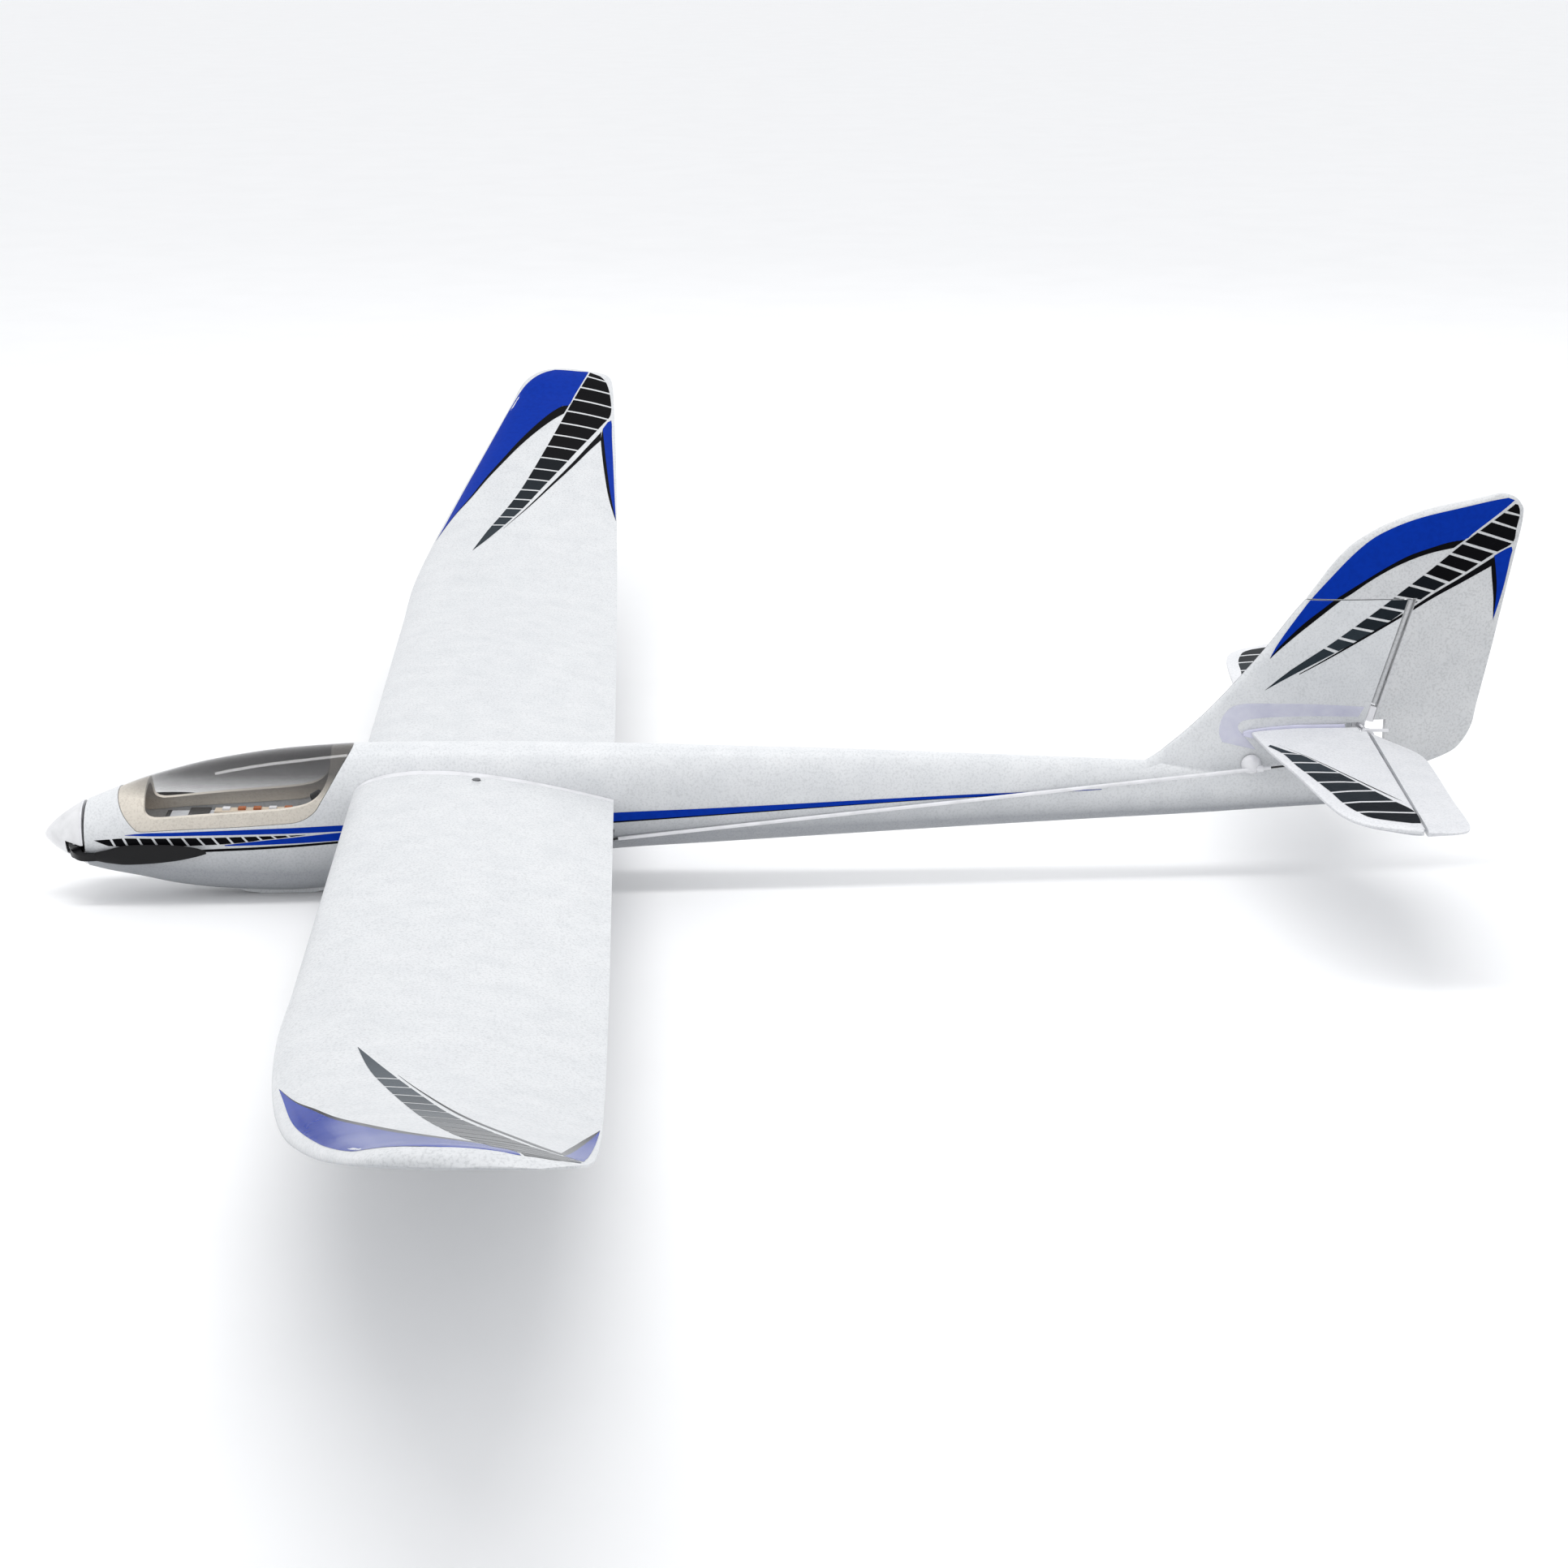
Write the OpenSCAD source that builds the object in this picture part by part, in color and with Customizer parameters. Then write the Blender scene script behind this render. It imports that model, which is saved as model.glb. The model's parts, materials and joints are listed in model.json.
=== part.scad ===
// Powered radio-controlled glider with foam airframe, clear canopy, folding
// propeller, rudder and elevators. Millimetres. +X points to the tail, +Y to the
// starboard wing tip, +Z up. The origin is below the middle of the whole model,
// on the surface that the belly skid stands on.

/* [Airframe] */
// Length from spinner tip to rudder trailing edge
length = 1143; // [1130:1:1150]
// Wing span from tip to tip
span = 1990; // [1960:2:2010]
// Thickness of the foam fuselage wall
wall = 5; // [4:0.5:5.5]
// Gap between foam pieces that come apart
gap = 0.4; // [0.3:0.1:0.5]

/* [Wing] */
// Height of the upper surface above the chord line, as a part of the chord
camber_up = 0.099; // [0.09:0.001:0.105]
// Depth of the lower surface below the chord line, as a part of the chord
camber_down = 0.018; // [0.014:0.001:0.022]
// Nose-up slope of the chord line
incidence = 0.037; // [0.03:0.001:0.04]
// Distance of the wing root rib from the centre plane
root_y = 29; // [28.5:0.5:30]
// Radius of the carbon wing tube
wing_tube_r = 3; // [2.5:0.25:3]
// Half length of the carbon wing tube
wing_tube_half = 200; // [180:5:205]

/* [Nose] */
// Height of the spinner tip
nose_z = 49.6; // [49:0.1:50]
// Down-thrust angle of the motor
thrust_down = 2.5; // [2:0.1:3]
// Length of the spinner
spinner_len = 31.5; // [31:0.1:32]
// Radius of the spinner's back edge
spinner_r = 25; // [24.8:0.1:25.2]
// Angle of the folded blades below and above the horizontal
blade_tilt = 22; // [18:1:28]
// Length of a blade past its root arm
blade_len = 86; // [80:1:88]
// Radius of the motor bell
bell_r = 17; // [15:0.5:17.5]

/* [Tail] */
// Half span of the tailplane
stab_half = 255; // [250:1:258]
// Height of the tailplane's middle plane
stab_z = 119; // [118:0.5:120]
// Thickness of the tailplane at its root
stab_thick = 9; // [8:0.5:9.5]
// Half thickness of the fin
fin_half = 5; // [4.5:0.25:5.5]
// Radius of the rudder's arm at its horn
rudder_arm = 17; // [16:0.5:18]
// Depth of the elevator horn below the hinge
elevator_arm = 20; // [18:0.5:21]

/* [Radio gear] */
// Size of the flight battery along X, Y and Z
battery_size = [105, 34, 24];
// Size of a servo body along X, Y and Z
servo_size = [23, 12.4, 22];
// Length of a servo arm
servo_arm = 12; // [10:0.5:13]
// Outer radius of a pushrod tube
tube_r = 1.5; // [1.4:0.1:1.6]
// Radius of a pushrod wire
wire_r = 0.8; // [0.7:0.1:0.9]

/* [Hidden] */
$fn = 48;
fit_gap = 0.05;
half_span = span / 2;
foam = "white";
clear_grey = [0.35, 0.35, 0.37, 0.6];

// Fuselage stations: x, top, bottom, half width
BODY = [
  [34.8, 76.9, 25.3, 25.7], [50, 83, 21.3, 28.6], [75, 92.6, 15.8, 30.8],
  [100, 99.8, 9.8, 32.2], [125, 106, 6.0, 33], [150, 110.6, 3.8, 33.5],
  [175, 114.2, 2.4, 33.6], [200, 116.6, 2.6, 33.2], [240, 119, 6.2, 30],
  [262, 119.3, 8.8, 28.8], [300, 119.2, 13.5, 28.4], [350, 118.6, 20.5, 27.6],
  [400, 117.6, 27, 26.2], [444, 116.2, 31.6, 24.4], [520, 113.2, 35.2, 20.8],
  [620, 109.2, 40, 17.3], [722, 103.8, 44.9, 14], [825, 98.2, 49.4, 11],
  [900, 93.5, 52.4, 8.8], [960, 90, 55.6, 6.8], [1010, 88, 58, 5]
];
body_power = 2.2;
cavity_end = 900;
fin_points = 6;
side_points = 9;
fin_from = 866;
tail_end = 1009.9;
tail_foot = 58;

// Wing stations: distance from the centre plane, leading edge x, trailing edge x,
// height of the trailing edge
WING = [
  [27, 241.5, 441.2, 77.9], [250, 243, 441.3, 83.3], [450, 244, 441.2, 87.5],
  [550, 246, 441, 95.7], [650, 256, 440.8, 108.3], [750, 274.5, 440.4, 131.8],
  [850, 301.5, 439.5, 167.8], [930, 326.5, 437.6, 202.8], [965, 338, 436.4, 219.5],
  [980, 348, 434.4, 226.5], [989, 362, 429, 230.5], [995, 385, 418, 233]
];
te_thick = 1.2;

// Fin and rudder outline: height, leading edge x, trailing edge x
FIN = [
  [58, 858, 1013], [84, 860, 1062], [97, 864, 1094], [104, 870, 1105],
  [120, 888.5, 1114.5], [138, 907, 1117.8], [158, 925, 1121.5], [187, 949, 1126.8],
  [215, 969.5, 1131.4], [228, 980.5, 1133.6]
];
CAP = [
  [226, 978.5, 1133.2], [240, 988.3, 1135.5], [251, 996, 1137.4], [261, 1004.5, 1139],
  [270, 1014.2, 1140.6], [281, 1032, 1142.4], [289, 1050.5, 1143],
  [295, 1069, 1142.9], [300, 1091, 1140], [303, 1106, 1137.2], [305.5, 1117, 1132.8],
  [307, 1123, 1127]
];
// The hinge line leans aft as it rises
hinge_x0 = 1035.3;
hinge_z0 = 136.6;
hinge_lean = 0.283;
hinge_tilt = atan(hinge_lean);
fin_top = 225;

// Tailplane stations: distance from the centre plane, leading edge x
STAB = [
  [9, 939.5], [56, 943.5], [116, 951.5], [186, 959], [216, 965.5], [233, 977],
  [242, 992], [250, 1010]
];
// Elevator stations: distance from the centre plane, trailing edge x
ELEV = [
  [19, 1035.5], [33, 1041.5], [48, 1048.5], [62, 1054.5], [80, 1057.5],
  [115, 1056], [177, 1051.5], [233, 1048.5], [243, 1046], [250, 1041], [254, 1030]
];
elev_root = 19;
elev_hinge_x = 1030;
elev_hinge_slope = 0.068;
stab_root = 9;
joiner_r = 2;

// Side outline of the canopy, and of the clear window in its foam frame
CANOPY = [
  [56, 140], [59, 95.5], [60.5, 85], [64.5, 74.8], [70.3, 66.4], [74, 62.4],
  [79, 60.2], [104, 61.6], [156, 63.8], [190, 65.8], [199, 67], [206, 69.8],
  [212.5, 75], [217, 82], [223, 91.5], [233.4, 108.1], [247.2, 127.5], [256, 140]
];
WINDOW = [
  [84, 140], [83.6, 99], [82, 86], [82, 76], [83.5, 72.4], [87, 70.4], [95, 70],
  [130, 72.6], [183, 76], [200, 78.2], [208, 80.6], [214.5, 85.1], [219.5, 92],
  [222.5, 99], [224.4, 108], [225, 140]
];
glazing_t = 0.8;
frame_t = 6;

// Motor and propeller places along the thrust line
pin_x = 26;
pin_r = 20.5;
blade_pin_r = 1.25;
yoke_half = 5.5;
blade_root_half = 3;
firewall_x = 63;
bell_x = 37;

// Radio gear places
wing_tube_x = 305;
wing_tube_z = 93;
battery_pos = [93, -battery_size[1] / 2, 38];
servo_z = 62;
tray_z = 53.2;
rudder_servo_x = 400;
elevator_servo_x = 366;
guide_x = 940.5;

// Pushrod lines: the tube's middle at two places along X, on the starboard side
rod_a = [449, 20.2, 45.6];
rod_b = [guide_x, 12.6, 91.2];
tube_from = 444;
bend_x = 430;
tube_to = 955;

// ---- Curves --------------------------------------------------------------

function seg(tab, x, i = 0) = i >= len(tab) - 2 || x < tab[i + 1][0] ? i : seg(tab, x, i + 1);

function slope_at(tab, i, c) =
  let (a = max(i - 1, 0), b = min(i + 1, len(tab) - 1))
  (tab[b][c] - tab[a][c]) / (tab[b][0] - tab[a][0]);

// Smooth curve through column c of a table of stations
function curve(tab, x, c) =
  let (
    i = seg(tab, x),
    h = tab[i + 1][0] - tab[i][0],
    u = min(max((x - tab[i][0]) / h, 0), 1),
    m0 = slope_at(tab, i, c) * h,
    m1 = slope_at(tab, i + 1, c) * h
  )
  (2 * u * u * u - 3 * u * u + 1) * tab[i][c] + (u * u * u - 2 * u * u + u) * m0
  + (3 * u * u - 2 * u * u * u) * tab[i + 1][c] + (u * u * u - u * u) * m1;

function spread(a, b, n) = [for (i = [0:n]) a + (b - a) * i / n];
function sgn_pow(v, p) = sign(v) * pow(abs(v), p);
function hinge_x(z) = hinge_x0 + hinge_lean * (z - hinge_z0);
function elev_x(y) = elev_hinge_x - elev_hinge_slope * y;

// Point of a superellipse half section, turned from the top (90) to the bottom (-90)
function arc_point(x, side, inset, ang) =
  let (
    zt = curve(BODY, x, 1) - inset,
    zb = curve(BODY, x, 2) + inset,
    b = x > cavity_end && inset >= wall ? 0 : curve(BODY, x, 3) - inset
  )
  [x, side * b * sgn_pow(cos(ang), 2 / body_power),
   (zt + zb) / 2 + (zt - zb) / 2 * sgn_pow(sin(ang), 2 / body_power)];

// The inner skin runs up the middle again, which makes a C-shaped half ring
function inner_arc(x, side, n) = [for (i = [0:n]) arc_point(x, side, wall, -90 + 180 * i / n)];

// Half ring of the pod and boom, with its points packed closer over the top
function boom_ring(x, side) = concat(
  [for (i = [0:fin_points - 1]) arc_point(x, side, 0, 90 - 40 * i / fin_points)],
  [for (i = [0:side_points]) arc_point(x, side, 0, 50 - 140 * i / side_points)],
  inner_arc(x, side, fin_points + side_points)
);

// Half thickness of the fin at a point of its side
function fin_y(x, z) =
  let (le = curve(FIN, z, 1), te = curve(FIN, z, 2))
  fin_half * (1 + 0.5 * pow(max(0, (130 - z) / 60), 2)) * foil_half(max(0, (x - le) / (te - le))) + 0.4;

// Stations in the tail lean aft with height until the last one lies along the hinge
function lean_at(s) = hinge_lean * max(0, s - fin_from) / (tail_end - fin_from);
function leaned(s, z) = s + lean_at(s) * (z - tail_foot);

// Station whose leaning ring meets the fin's leading edge at height z
function fin_station(z) =
  let (c = hinge_lean * (z - tail_foot) / (tail_end - fin_from))
  (curve(FIN, z, 1) + fin_from * c) / (1 + c);

// Half ring of the boom with the fin standing on it, up to height top
function fin_ring(s, top, side) =
  let (
    zt = curve(BODY, s, 1),
    b = curve(BODY, s, 3),
    h = min(fin_y(leaned(s, zt), zt), 0.9 * b),
    start = acos(pow(h / b, body_power / 2)),
    join = arc_point(s, 1, 0, start)[2]
  )
  concat(
    [for (i = [0:fin_points - 1])
      let (z = top + (join - top) * i / fin_points, x = leaned(s, z))
      [x, side * (fin_y(x, z) + (h - fin_y(x, z)) * pow(i / fin_points, 3)), z]],
    [for (i = [0:side_points])
      let (p = arc_point(s, side, 0, start - (start + 90) * i / side_points))
      [leaned(s, p[2]), p[1], p[2]]],
    [for (p = inner_arc(s, side, fin_points + side_points)) [leaned(s, p[2]), p[1], p[2]]]
  );

// Half thickness of a symmetric foil along its chord, with a greatest value of 1
function foil_half(t) = 10 * (0.2969 * sqrt(t) - 0.126 * t - 0.3516 * t * t
  + 0.2843 * t * t * t - 0.1015 * t * t * t * t);

// ---- Solids from rings ----------------------------------------------------

// Closed skin through rings of equal, even length; flip turns it right side out.
// Each end is closed by a strip that joins the ring's two opposite runs.
module skin(rings, flip = false) {
  n = len(rings[0]);
  m = len(rings);
  top = (m - 1) * n;
  sides = [for (j = [0:m - 2]) for (i = [0:n - 1])
    let (a = j * n + i, b = j * n + (i + 1) % n)
    each [[a, b, b + n], [a, b + n, a + n]]];
  ends = [for (i = [0:n / 2 - 2])
    let (a = i, b = i + 1, c = n - 2 - i, d = n - 1 - i)
    each [[a, d, c], [a, c, b], [top + a, top + b, top + c], [top + a, top + c, top + d]]];
  faces = concat(sides, ends);
  polyhedron(
    points = [for (r = rings) each r],
    faces = flip ? [for (f = faces) [f[2], f[1], f[0]]] : faces
  );
}

// Slab across the whole body with the given side outline
module side_prism(outline, grow = 0) {
  rotate([90, 0, 0])
    translate([0, 0, -60])
      linear_extrude(height = 120)
        if (grow == 0) polygon(outline);
        else offset(delta = grow) polygon(outline);
}

module box(lo, hi) {
  translate(lo) cube(hi - lo);
}

module both_sides() {
  children();
  mirror([0, 1, 0]) children();
}

module x_cylinder(x, y, z, len, r) {
  translate([x, y, z]) rotate([0, 90, 0]) cylinder(h = len, r = r);
}

module y_cylinder(x, y, z, len, r) {
  translate([x, y, z]) rotate([-90, 0, 0]) cylinder(h = len, r = r);
}

// The whole model is drawn from the spinner tip, then moved to its middle
module placed() {
  translate([-length / 2, 0, 0]) children();
}

// Local frame on the thrust line, +X aft along the shaft
module on_thrust() {
  translate([0, 0, nose_z]) rotate([0, -thrust_down, 0]) children();
}

// ---- Fuselage -------------------------------------------------------------

BODY_X = concat([34.8, 42], spread(50, 225, 14), spread(240, 440, 8),
  spread(470, 850, 10), [858]);
FIN_TOPS = [104, 111, 120, 130, 142, 158, 176, 196, 214, fin_top];

// One half of the fuselage, moulded with its half of the fin
module body_half(side) {
  skin(concat(
    [for (x = BODY_X) boom_ring(x, side)],
    [for (z = FIN_TOPS) fin_ring(fin_station(z), z, side)],
    [for (s = [966, 982, 996, tail_end]) fin_ring(s, fin_top, side)]
  ), side < 0);
}

// Slot through the fin for the elevator joiner and the rudder barrel
module joiner_slot() {
  box([1015, -14, stab_z - 7], [1048, 14, stab_z + 7]);
}

module stab_socket() {
  y_cylinder(965, -30, stab_z, 60, 2 + fit_gap);
  y_cylinder(1004, -30, stab_z, 60, 2 + fit_gap);
}

// Room inside for the servo tray, the wing tube, the rib tabs and the pushrods
module body_pockets() {
  box([344, -21.2, tray_z], [424, 21.2, 76]);
  both_sides() {
    box([352, 15.5, 42], [tube_from - 3, 22.2, 54]);
    box([330, 14, 88.5], [344, 40, 92.1]);
  }
  y_cylinder(wing_tube_x, -60, wing_tube_z, 120, wing_tube_r + fit_gap);
}

module fuselage_half(side) {
  difference() {
    body_half(side);
    side_prism(CANOPY, gap);
    body_pockets();
    joiner_slot();
    stab_socket();
    fin_led_pocket();
    hinge_pockets();
    barrel(5.1, 0.4);
    scale_side(side) rod_path(tube_from - 4, tube_to + 6, tube_r + fit_gap);
  }
}

module scale_side(side) {
  if (side > 0) children();
  else mirror([0, 1, 0]) children();
}

module fuselage_left() {
  color(foam) placed() fuselage_half(-1);
}

module fuselage_right() {
  color(foam) placed() fuselage_half(1);
}

// Landing skid glued under the belly, flat where the model stands on it
module belly_skid() {
  color("gainsboro") placed() difference() {
    rotate([90, 0, 0]) linear_extrude(height = 13, center = true)
      polygon([[148, 4], [152, 2], [165, 0], [205, 0], [219, 2.6], [224, 6], [224, 14], [148, 14]]);
    skin([for (x = spread(140, 232, 16)) shell_solid(x, -0.15, 72)]);
  }
}

// Whole outline of the pod at one station, moved in by inset or out by a negative one
function shell_solid(x, inset, n = 24) = [for (i = [0:n - 1])
  arc_point(x, 1, inset, 90 - 360 * (i + 0.5) / n)];

// ---- Power ----------------------------------------------------------------

module motor_mount() {
  color("tan") placed() on_thrust() difference() {
    translate([firewall_x, 0, 0]) rotate([0, 90, 0]) cylinder(h = 3, r = 24.3);
    x_cylinder(firewall_x - 1, 0, 0, 5, 5);
    for (a = [45:90:315]) rotate([a, 0, 0]) x_cylinder(firewall_x - 1, 0, 12, 5, 1.55);
  }
}

module motor_stator() {
  color("silver") placed() on_thrust() difference() {
    union() {
      x_cylinder(59, 0, 0, 4, 15.5);
      x_cylinder(41, 0, 0, 18, 12.5);
      x_cylinder(39.6, 0, 0, 2, 5);
    }
    x_cylinder(38, 0, 0, 26, 2.06);
    for (a = [45:90:315]) rotate([a, 0, 0]) x_cylinder(58, 0, 12, 6, 1.55);
  }
}

module motor_screws() {
  color("dimgray") placed() on_thrust() for (a = [45:90:315]) rotate([a, 0, 0]) {
    x_cylinder(firewall_x + 3, 0, 12, 2, 2.7);
    x_cylinder(firewall_x, 0, 12, 3, 1.5);
  }
}

module esc() {
  color("royalblue") placed() box([72, -11, 24.4], [96, 11, 34.3]);
}

// ---- Radio gear -----------------------------------------------------------

// Plywood floor between the walls, with an upright stop behind the battery
module battery_tray() {
  color("tan") placed() union() {
    difference() {
      intersection() {
        box([70, -40, 34.4], [275, 40, 37.6]);
        skin([for (x = spread(64, 281, 7)) shell_solid(x, wall + 0.4)]);
      }
      for (x = [110, 160]) both_sides() box([x, 17, 33], [x + 17, 20, 39]);
    }
    box([210, -14, 37], [213, 14, 66.2]);
  }
}

module battery() {
  lo = battery_pos;
  color("white") placed() union() {
    box(lo, lo + battery_size);
    box([lo[0] - 6, -6, lo[2] + 8], [lo[0], 6, lo[2] + 14]);
  }
}

module strap_loop(x, grow) {
  w = battery_size[1] / 2 + 0.2;
  lo = battery_pos[2] - 4.6;
  hi = battery_pos[2] + battery_size[2] + 0.2;
  difference() {
    box([x, -w - grow, lo - grow], [x + 16, w + grow, hi + grow]);
    box([x - 1, -w, lo], [x + 17, w, hi]);
  }
}

module battery_strap() {
  color("black") placed() strap_loop(110.5, 1.2);
}

module receiver() {
  color("darkslategray") placed() union() {
    box([222, -13, 37.7], [264, 13, 51.7]);
    box([264, -9, 41], [268, 9, 49]);
  }
}

// Round switch module that lights the strips
module led_controller() {
  color("black") placed() union() {
    box([204, -14, 66.3], [224, 4, 69.3]);
    translate([213, -5, 75.5]) rotate([0, 60, 0]) cylinder(h = 7, r = 7.5, center = true);
  }
}

// Flexible light strip that lies along the top of the battery
module led_strip() {
  color("ivory") placed() union() {
    box([130, 6, 62.1], [202, 16, 63.5]);
    for (x = [136:12:190]) box([x, 8.5, 63.3], [x + 6, 14, 65.2]);
  }
}

// Floor under both servos, with slots for their arms and posts for their lugs
module servo_tray() {
  color("tan") placed() union() {
    difference() {
      box([344.5, -20.9, tray_z], [423.5, 20.9, servo_z - 6.3]);
      for (x = [rudder_servo_x, elevator_servo_x]) both_sides()
        box([x - 13, 16.6, tray_z - 1], [x + 13, 19.5, servo_z]);
    }
    for (d = [-14.1, 14.1]) {
      lug_post(elevator_servo_x + d, 1);
      lug_post(rudder_servo_x + d, -1);
    }
  }
}

module lug_post(x, side) {
  scale_side(side) difference() {
    box([x - 2.2, 4.4, tray_z + 1], [x + 2.2, 7.9, servo_z + 5]);
    y_cylinder(x, 4, servo_z, 5, 1);
  }
}

// Servo lying on its side: output shaft across the body
module servo(x, side) {
  scale_side(side) difference() {
    union() {
      box([x - 11.5, -servo_size[2] + 13.5, servo_z - 6.2], [x + 11.5, 13.5, servo_z + 6.2]);
      box([x - 16, 8, servo_z - 6.2], [x + 16, 10, servo_z + 6.2]);
      y_cylinder(x, 13.5, servo_z, 2, 5.5);
      y_cylinder(x, 15.5, servo_z, 3.4, 2);
    }
    for (dx = [-14.1, 14.1]) y_cylinder(x + dx, 7, servo_z, 4, 1);
  }
}

module rudder_servo() {
  color("midnightblue") placed() servo(rudder_servo_x, -1);
}

module elevator_servo() {
  color("midnightblue") placed() servo(elevator_servo_x, 1);
}

module servo_screws() {
  color("silver") placed() {
    for (dx = [-14.1, 14.1]) {
      mirror([0, 1, 0]) servo_screw(rudder_servo_x + dx);
      servo_screw(elevator_servo_x + dx);
    }
  }
}

module servo_screw(x) {
  y_cylinder(x, 5, servo_z, 5.1, 0.95);
  y_cylinder(x, 10, servo_z, 1.2, 1.9);
}

// ---- Wing -----------------------------------------------------------------

function wing_up(t) = camber_up * sqrt(t) * (1 - t) / 0.3849;
function wing_down(t) = camber_down * sqrt(t) * (1 - t) / 0.3849;

// Foil section at a distance from the centre plane
function wing_ring(n, side, y, thin) =
  let (
    yy = max(y, 27),
    le = curve(WING, yy, 1),
    te = curve(WING, yy, 2),
    z0 = curve(WING, yy, 3),
    c = te - le,
    k = thin > 0 ? sqrt(max(1 - thin * thin, 0.01)) : 1
  )
  [for (i = [0:n - 1])
    let (
      a = 360 * (i + 0.5) / n,
      t = (1 + cos(a)) / 2,
      up = a < 180,
      h = up ? wing_up(t) * c * k + te_thick / 2 * k : -wing_down(t) * c * k - te_thick / 2 * k
    )
    [le + t * c, side * y, z0 + incidence * (1 - t) * c + h]];

WING_Y = concat([root_y + 3.1, 120, 250, 370, 450], spread(490, 970, 16), [978, 984, 989, 993]);

module wing_panel(side) {
  skin([for (y = concat(WING_Y, [half_span]))
    wing_ring(26, side, y, max(0, (y - half_span + 12) / 12) * 0.97)], side < 0);
}

module wing(side) {
  difference() {
    wing_panel(side);
    scale_side(side) {
      y_cylinder(wing_tube_x, 20, wing_tube_z, wing_tube_half - 19, wing_tube_r + fit_gap);
      translate([337, 40, 70]) cylinder(h = 60, r = 1.8);
      translate([337, 40, 99.2]) cylinder(h = 30, r = 3.4);
      box([328, 20, 88.4], [346, 48, 92.2]);
      wing_led_room();
    }
  }
}

module wing_led_room() {
  box([352, root_y + 3, 90.2], [360, 430, 93.4]);
}

module wing_left() {
  color(foam) placed() wing(-1);
}

module wing_right() {
  color(foam) placed() wing(1);
}

// Half width of the boom's outside at height z
function boom_y(x, z) =
  let (zt = curve(BODY, x, 1), zb = curve(BODY, x, 2), u = abs(2 * z - zt - zb) / (zt - zb))
  curve(BODY, x, 3) * pow(max(0, 1 - pow(u, body_power)), 1 / body_power);

// Ring of the rib that lies on the boom's side, drawn in towards its middle by s
function rib_foot(s, n = 20) =
  let (p = wing_ring(n, 1, root_y, 0))
  [for (i = [0:n - 1])
    let (x = p[i][0], z = p[i][2] + s / 2 * (p[n - 1 - i][2] - p[i][2]))
    [x, boom_y(x, z) + 0.2, z]];

// Root rib that fills the space between wing and boom, with its retaining tab
module wing_rib() {
  difference() {
    union() {
      skin(concat(
        [for (s = [0.85, 0.6, 0.3, 0]) rib_foot(s)],
        [wing_ring(20, 1, root_y + 2.9, 0)]
      ));
      box([330.4, 20, 88.7], [343.6, 47, 91.9]);
    }
    y_cylinder(wing_tube_x, 10, wing_tube_z, 40, wing_tube_r + fit_gap);
    box([352, 29, 90.2], [360, 40, 93.4]);
    translate([337, 40, 80]) cylinder(h = 20, r = 1.55);
  }
}

module wing_rib_left() {
  color("gainsboro") placed() mirror([0, 1, 0]) wing_rib();
}

module wing_rib_right() {
  color("gainsboro") placed() wing_rib();
}

module wing_screws() {
  color("dimgray") placed() both_sides() {
    translate([337, 40, 86]) cylinder(h = 14, r = 1.5);
    translate([337, 40, 99.4]) cylinder(h = 2.4, r = 3.1);
  }
}

module wing_tube() {
  color([0.1, 0.1, 0.1]) placed() difference() {
    y_cylinder(wing_tube_x, -wing_tube_half, wing_tube_z, 2 * wing_tube_half, wing_tube_r);
    y_cylinder(wing_tube_x, -wing_tube_half - 1, wing_tube_z, 2 * wing_tube_half + 2,
      wing_tube_r - 1);
  }
}

module wing_led() {
  box([353, root_y + 0.8, 90.6], [359, 425, 91.8]);
  for (y = [45:20:415]) box([354, y, 91.8], [358, y + 4, 93]);
}

module wing_led_left() {
  color("ivory") placed() mirror([0, 1, 0]) wing_led();
}

module wing_led_right() {
  color("ivory") placed() wing_led();
}

// ---- Tailplane ------------------------------------------------------------

// Closed section of a flat, round-edged tail surface between two x places
function tail_ring(y, side, x0, x1, h0, h1, n = 8) = concat(
  [for (i = [0:n]) let (u = i / n) [x0 + (x1 - x0) * u, side * y, stab_z + h0 * (1 - u) + h1 * u]],
  [for (i = [n:-1:0]) let (u = i / n) [x0 + (x1 - x0) * u, side * y, stab_z - h0 * (1 - u) - h1 * u]]
);

function stab_half_t(y) = stab_thick / 2 - 1.7 * y / stab_half;

function stab_ring(y, side, n = 8) =
  let (
    le = curve(STAB, y, 1),
    te = elev_x(y) - 1.4,
    h = stab_half_t(y) * sqrt(max(1 - pow(max(y - 243, 0) / 8, 2), 0.06))
  )
  concat(
    [for (i = [0:n]) let (t = 1 - cos(90 * i / n))
      [le + (te - le) * t, side * y, stab_z + h * min(1, 0.25 + 1.2 * sqrt(t))]],
    [for (i = [n:-1:0]) let (t = 1 - cos(90 * i / n))
      [le + (te - le) * t, side * y, stab_z - h * min(1, 0.25 + 1.2 * sqrt(t))]]
  );

STAB_Y = [stab_root, 30, 56, 86, 116, 150, 186, 202, 216, 225, 233, 238, 242, 246, 250];

module stab(side) {
  difference() {
    skin([for (y = STAB_Y) stab_ring(y, side)], side > 0);
    scale_side(side) {
      y_cylinder(965, 0, stab_z, 150, 2 + fit_gap);
      y_cylinder(1004, 0, stab_z, 150, 2 + fit_gap);
      elevator_hinge_room();
      box([elev_hinge_x - 7.4, 0, stab_z - 10], [elev_hinge_x + 6, elev_root + 0.6, stab_z + 10]);
    }
  }
}

module stab_left() {
  color(foam) placed() stab(-1);
}

module stab_right() {
  color(foam) placed() stab(1);
}

module stab_tube() {
  color([0.1, 0.1, 0.1]) placed() {
    y_cylinder(965, -145, stab_z, 290, 2);
    y_cylinder(1004, -100, stab_z, 200, 2);
  }
}

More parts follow.
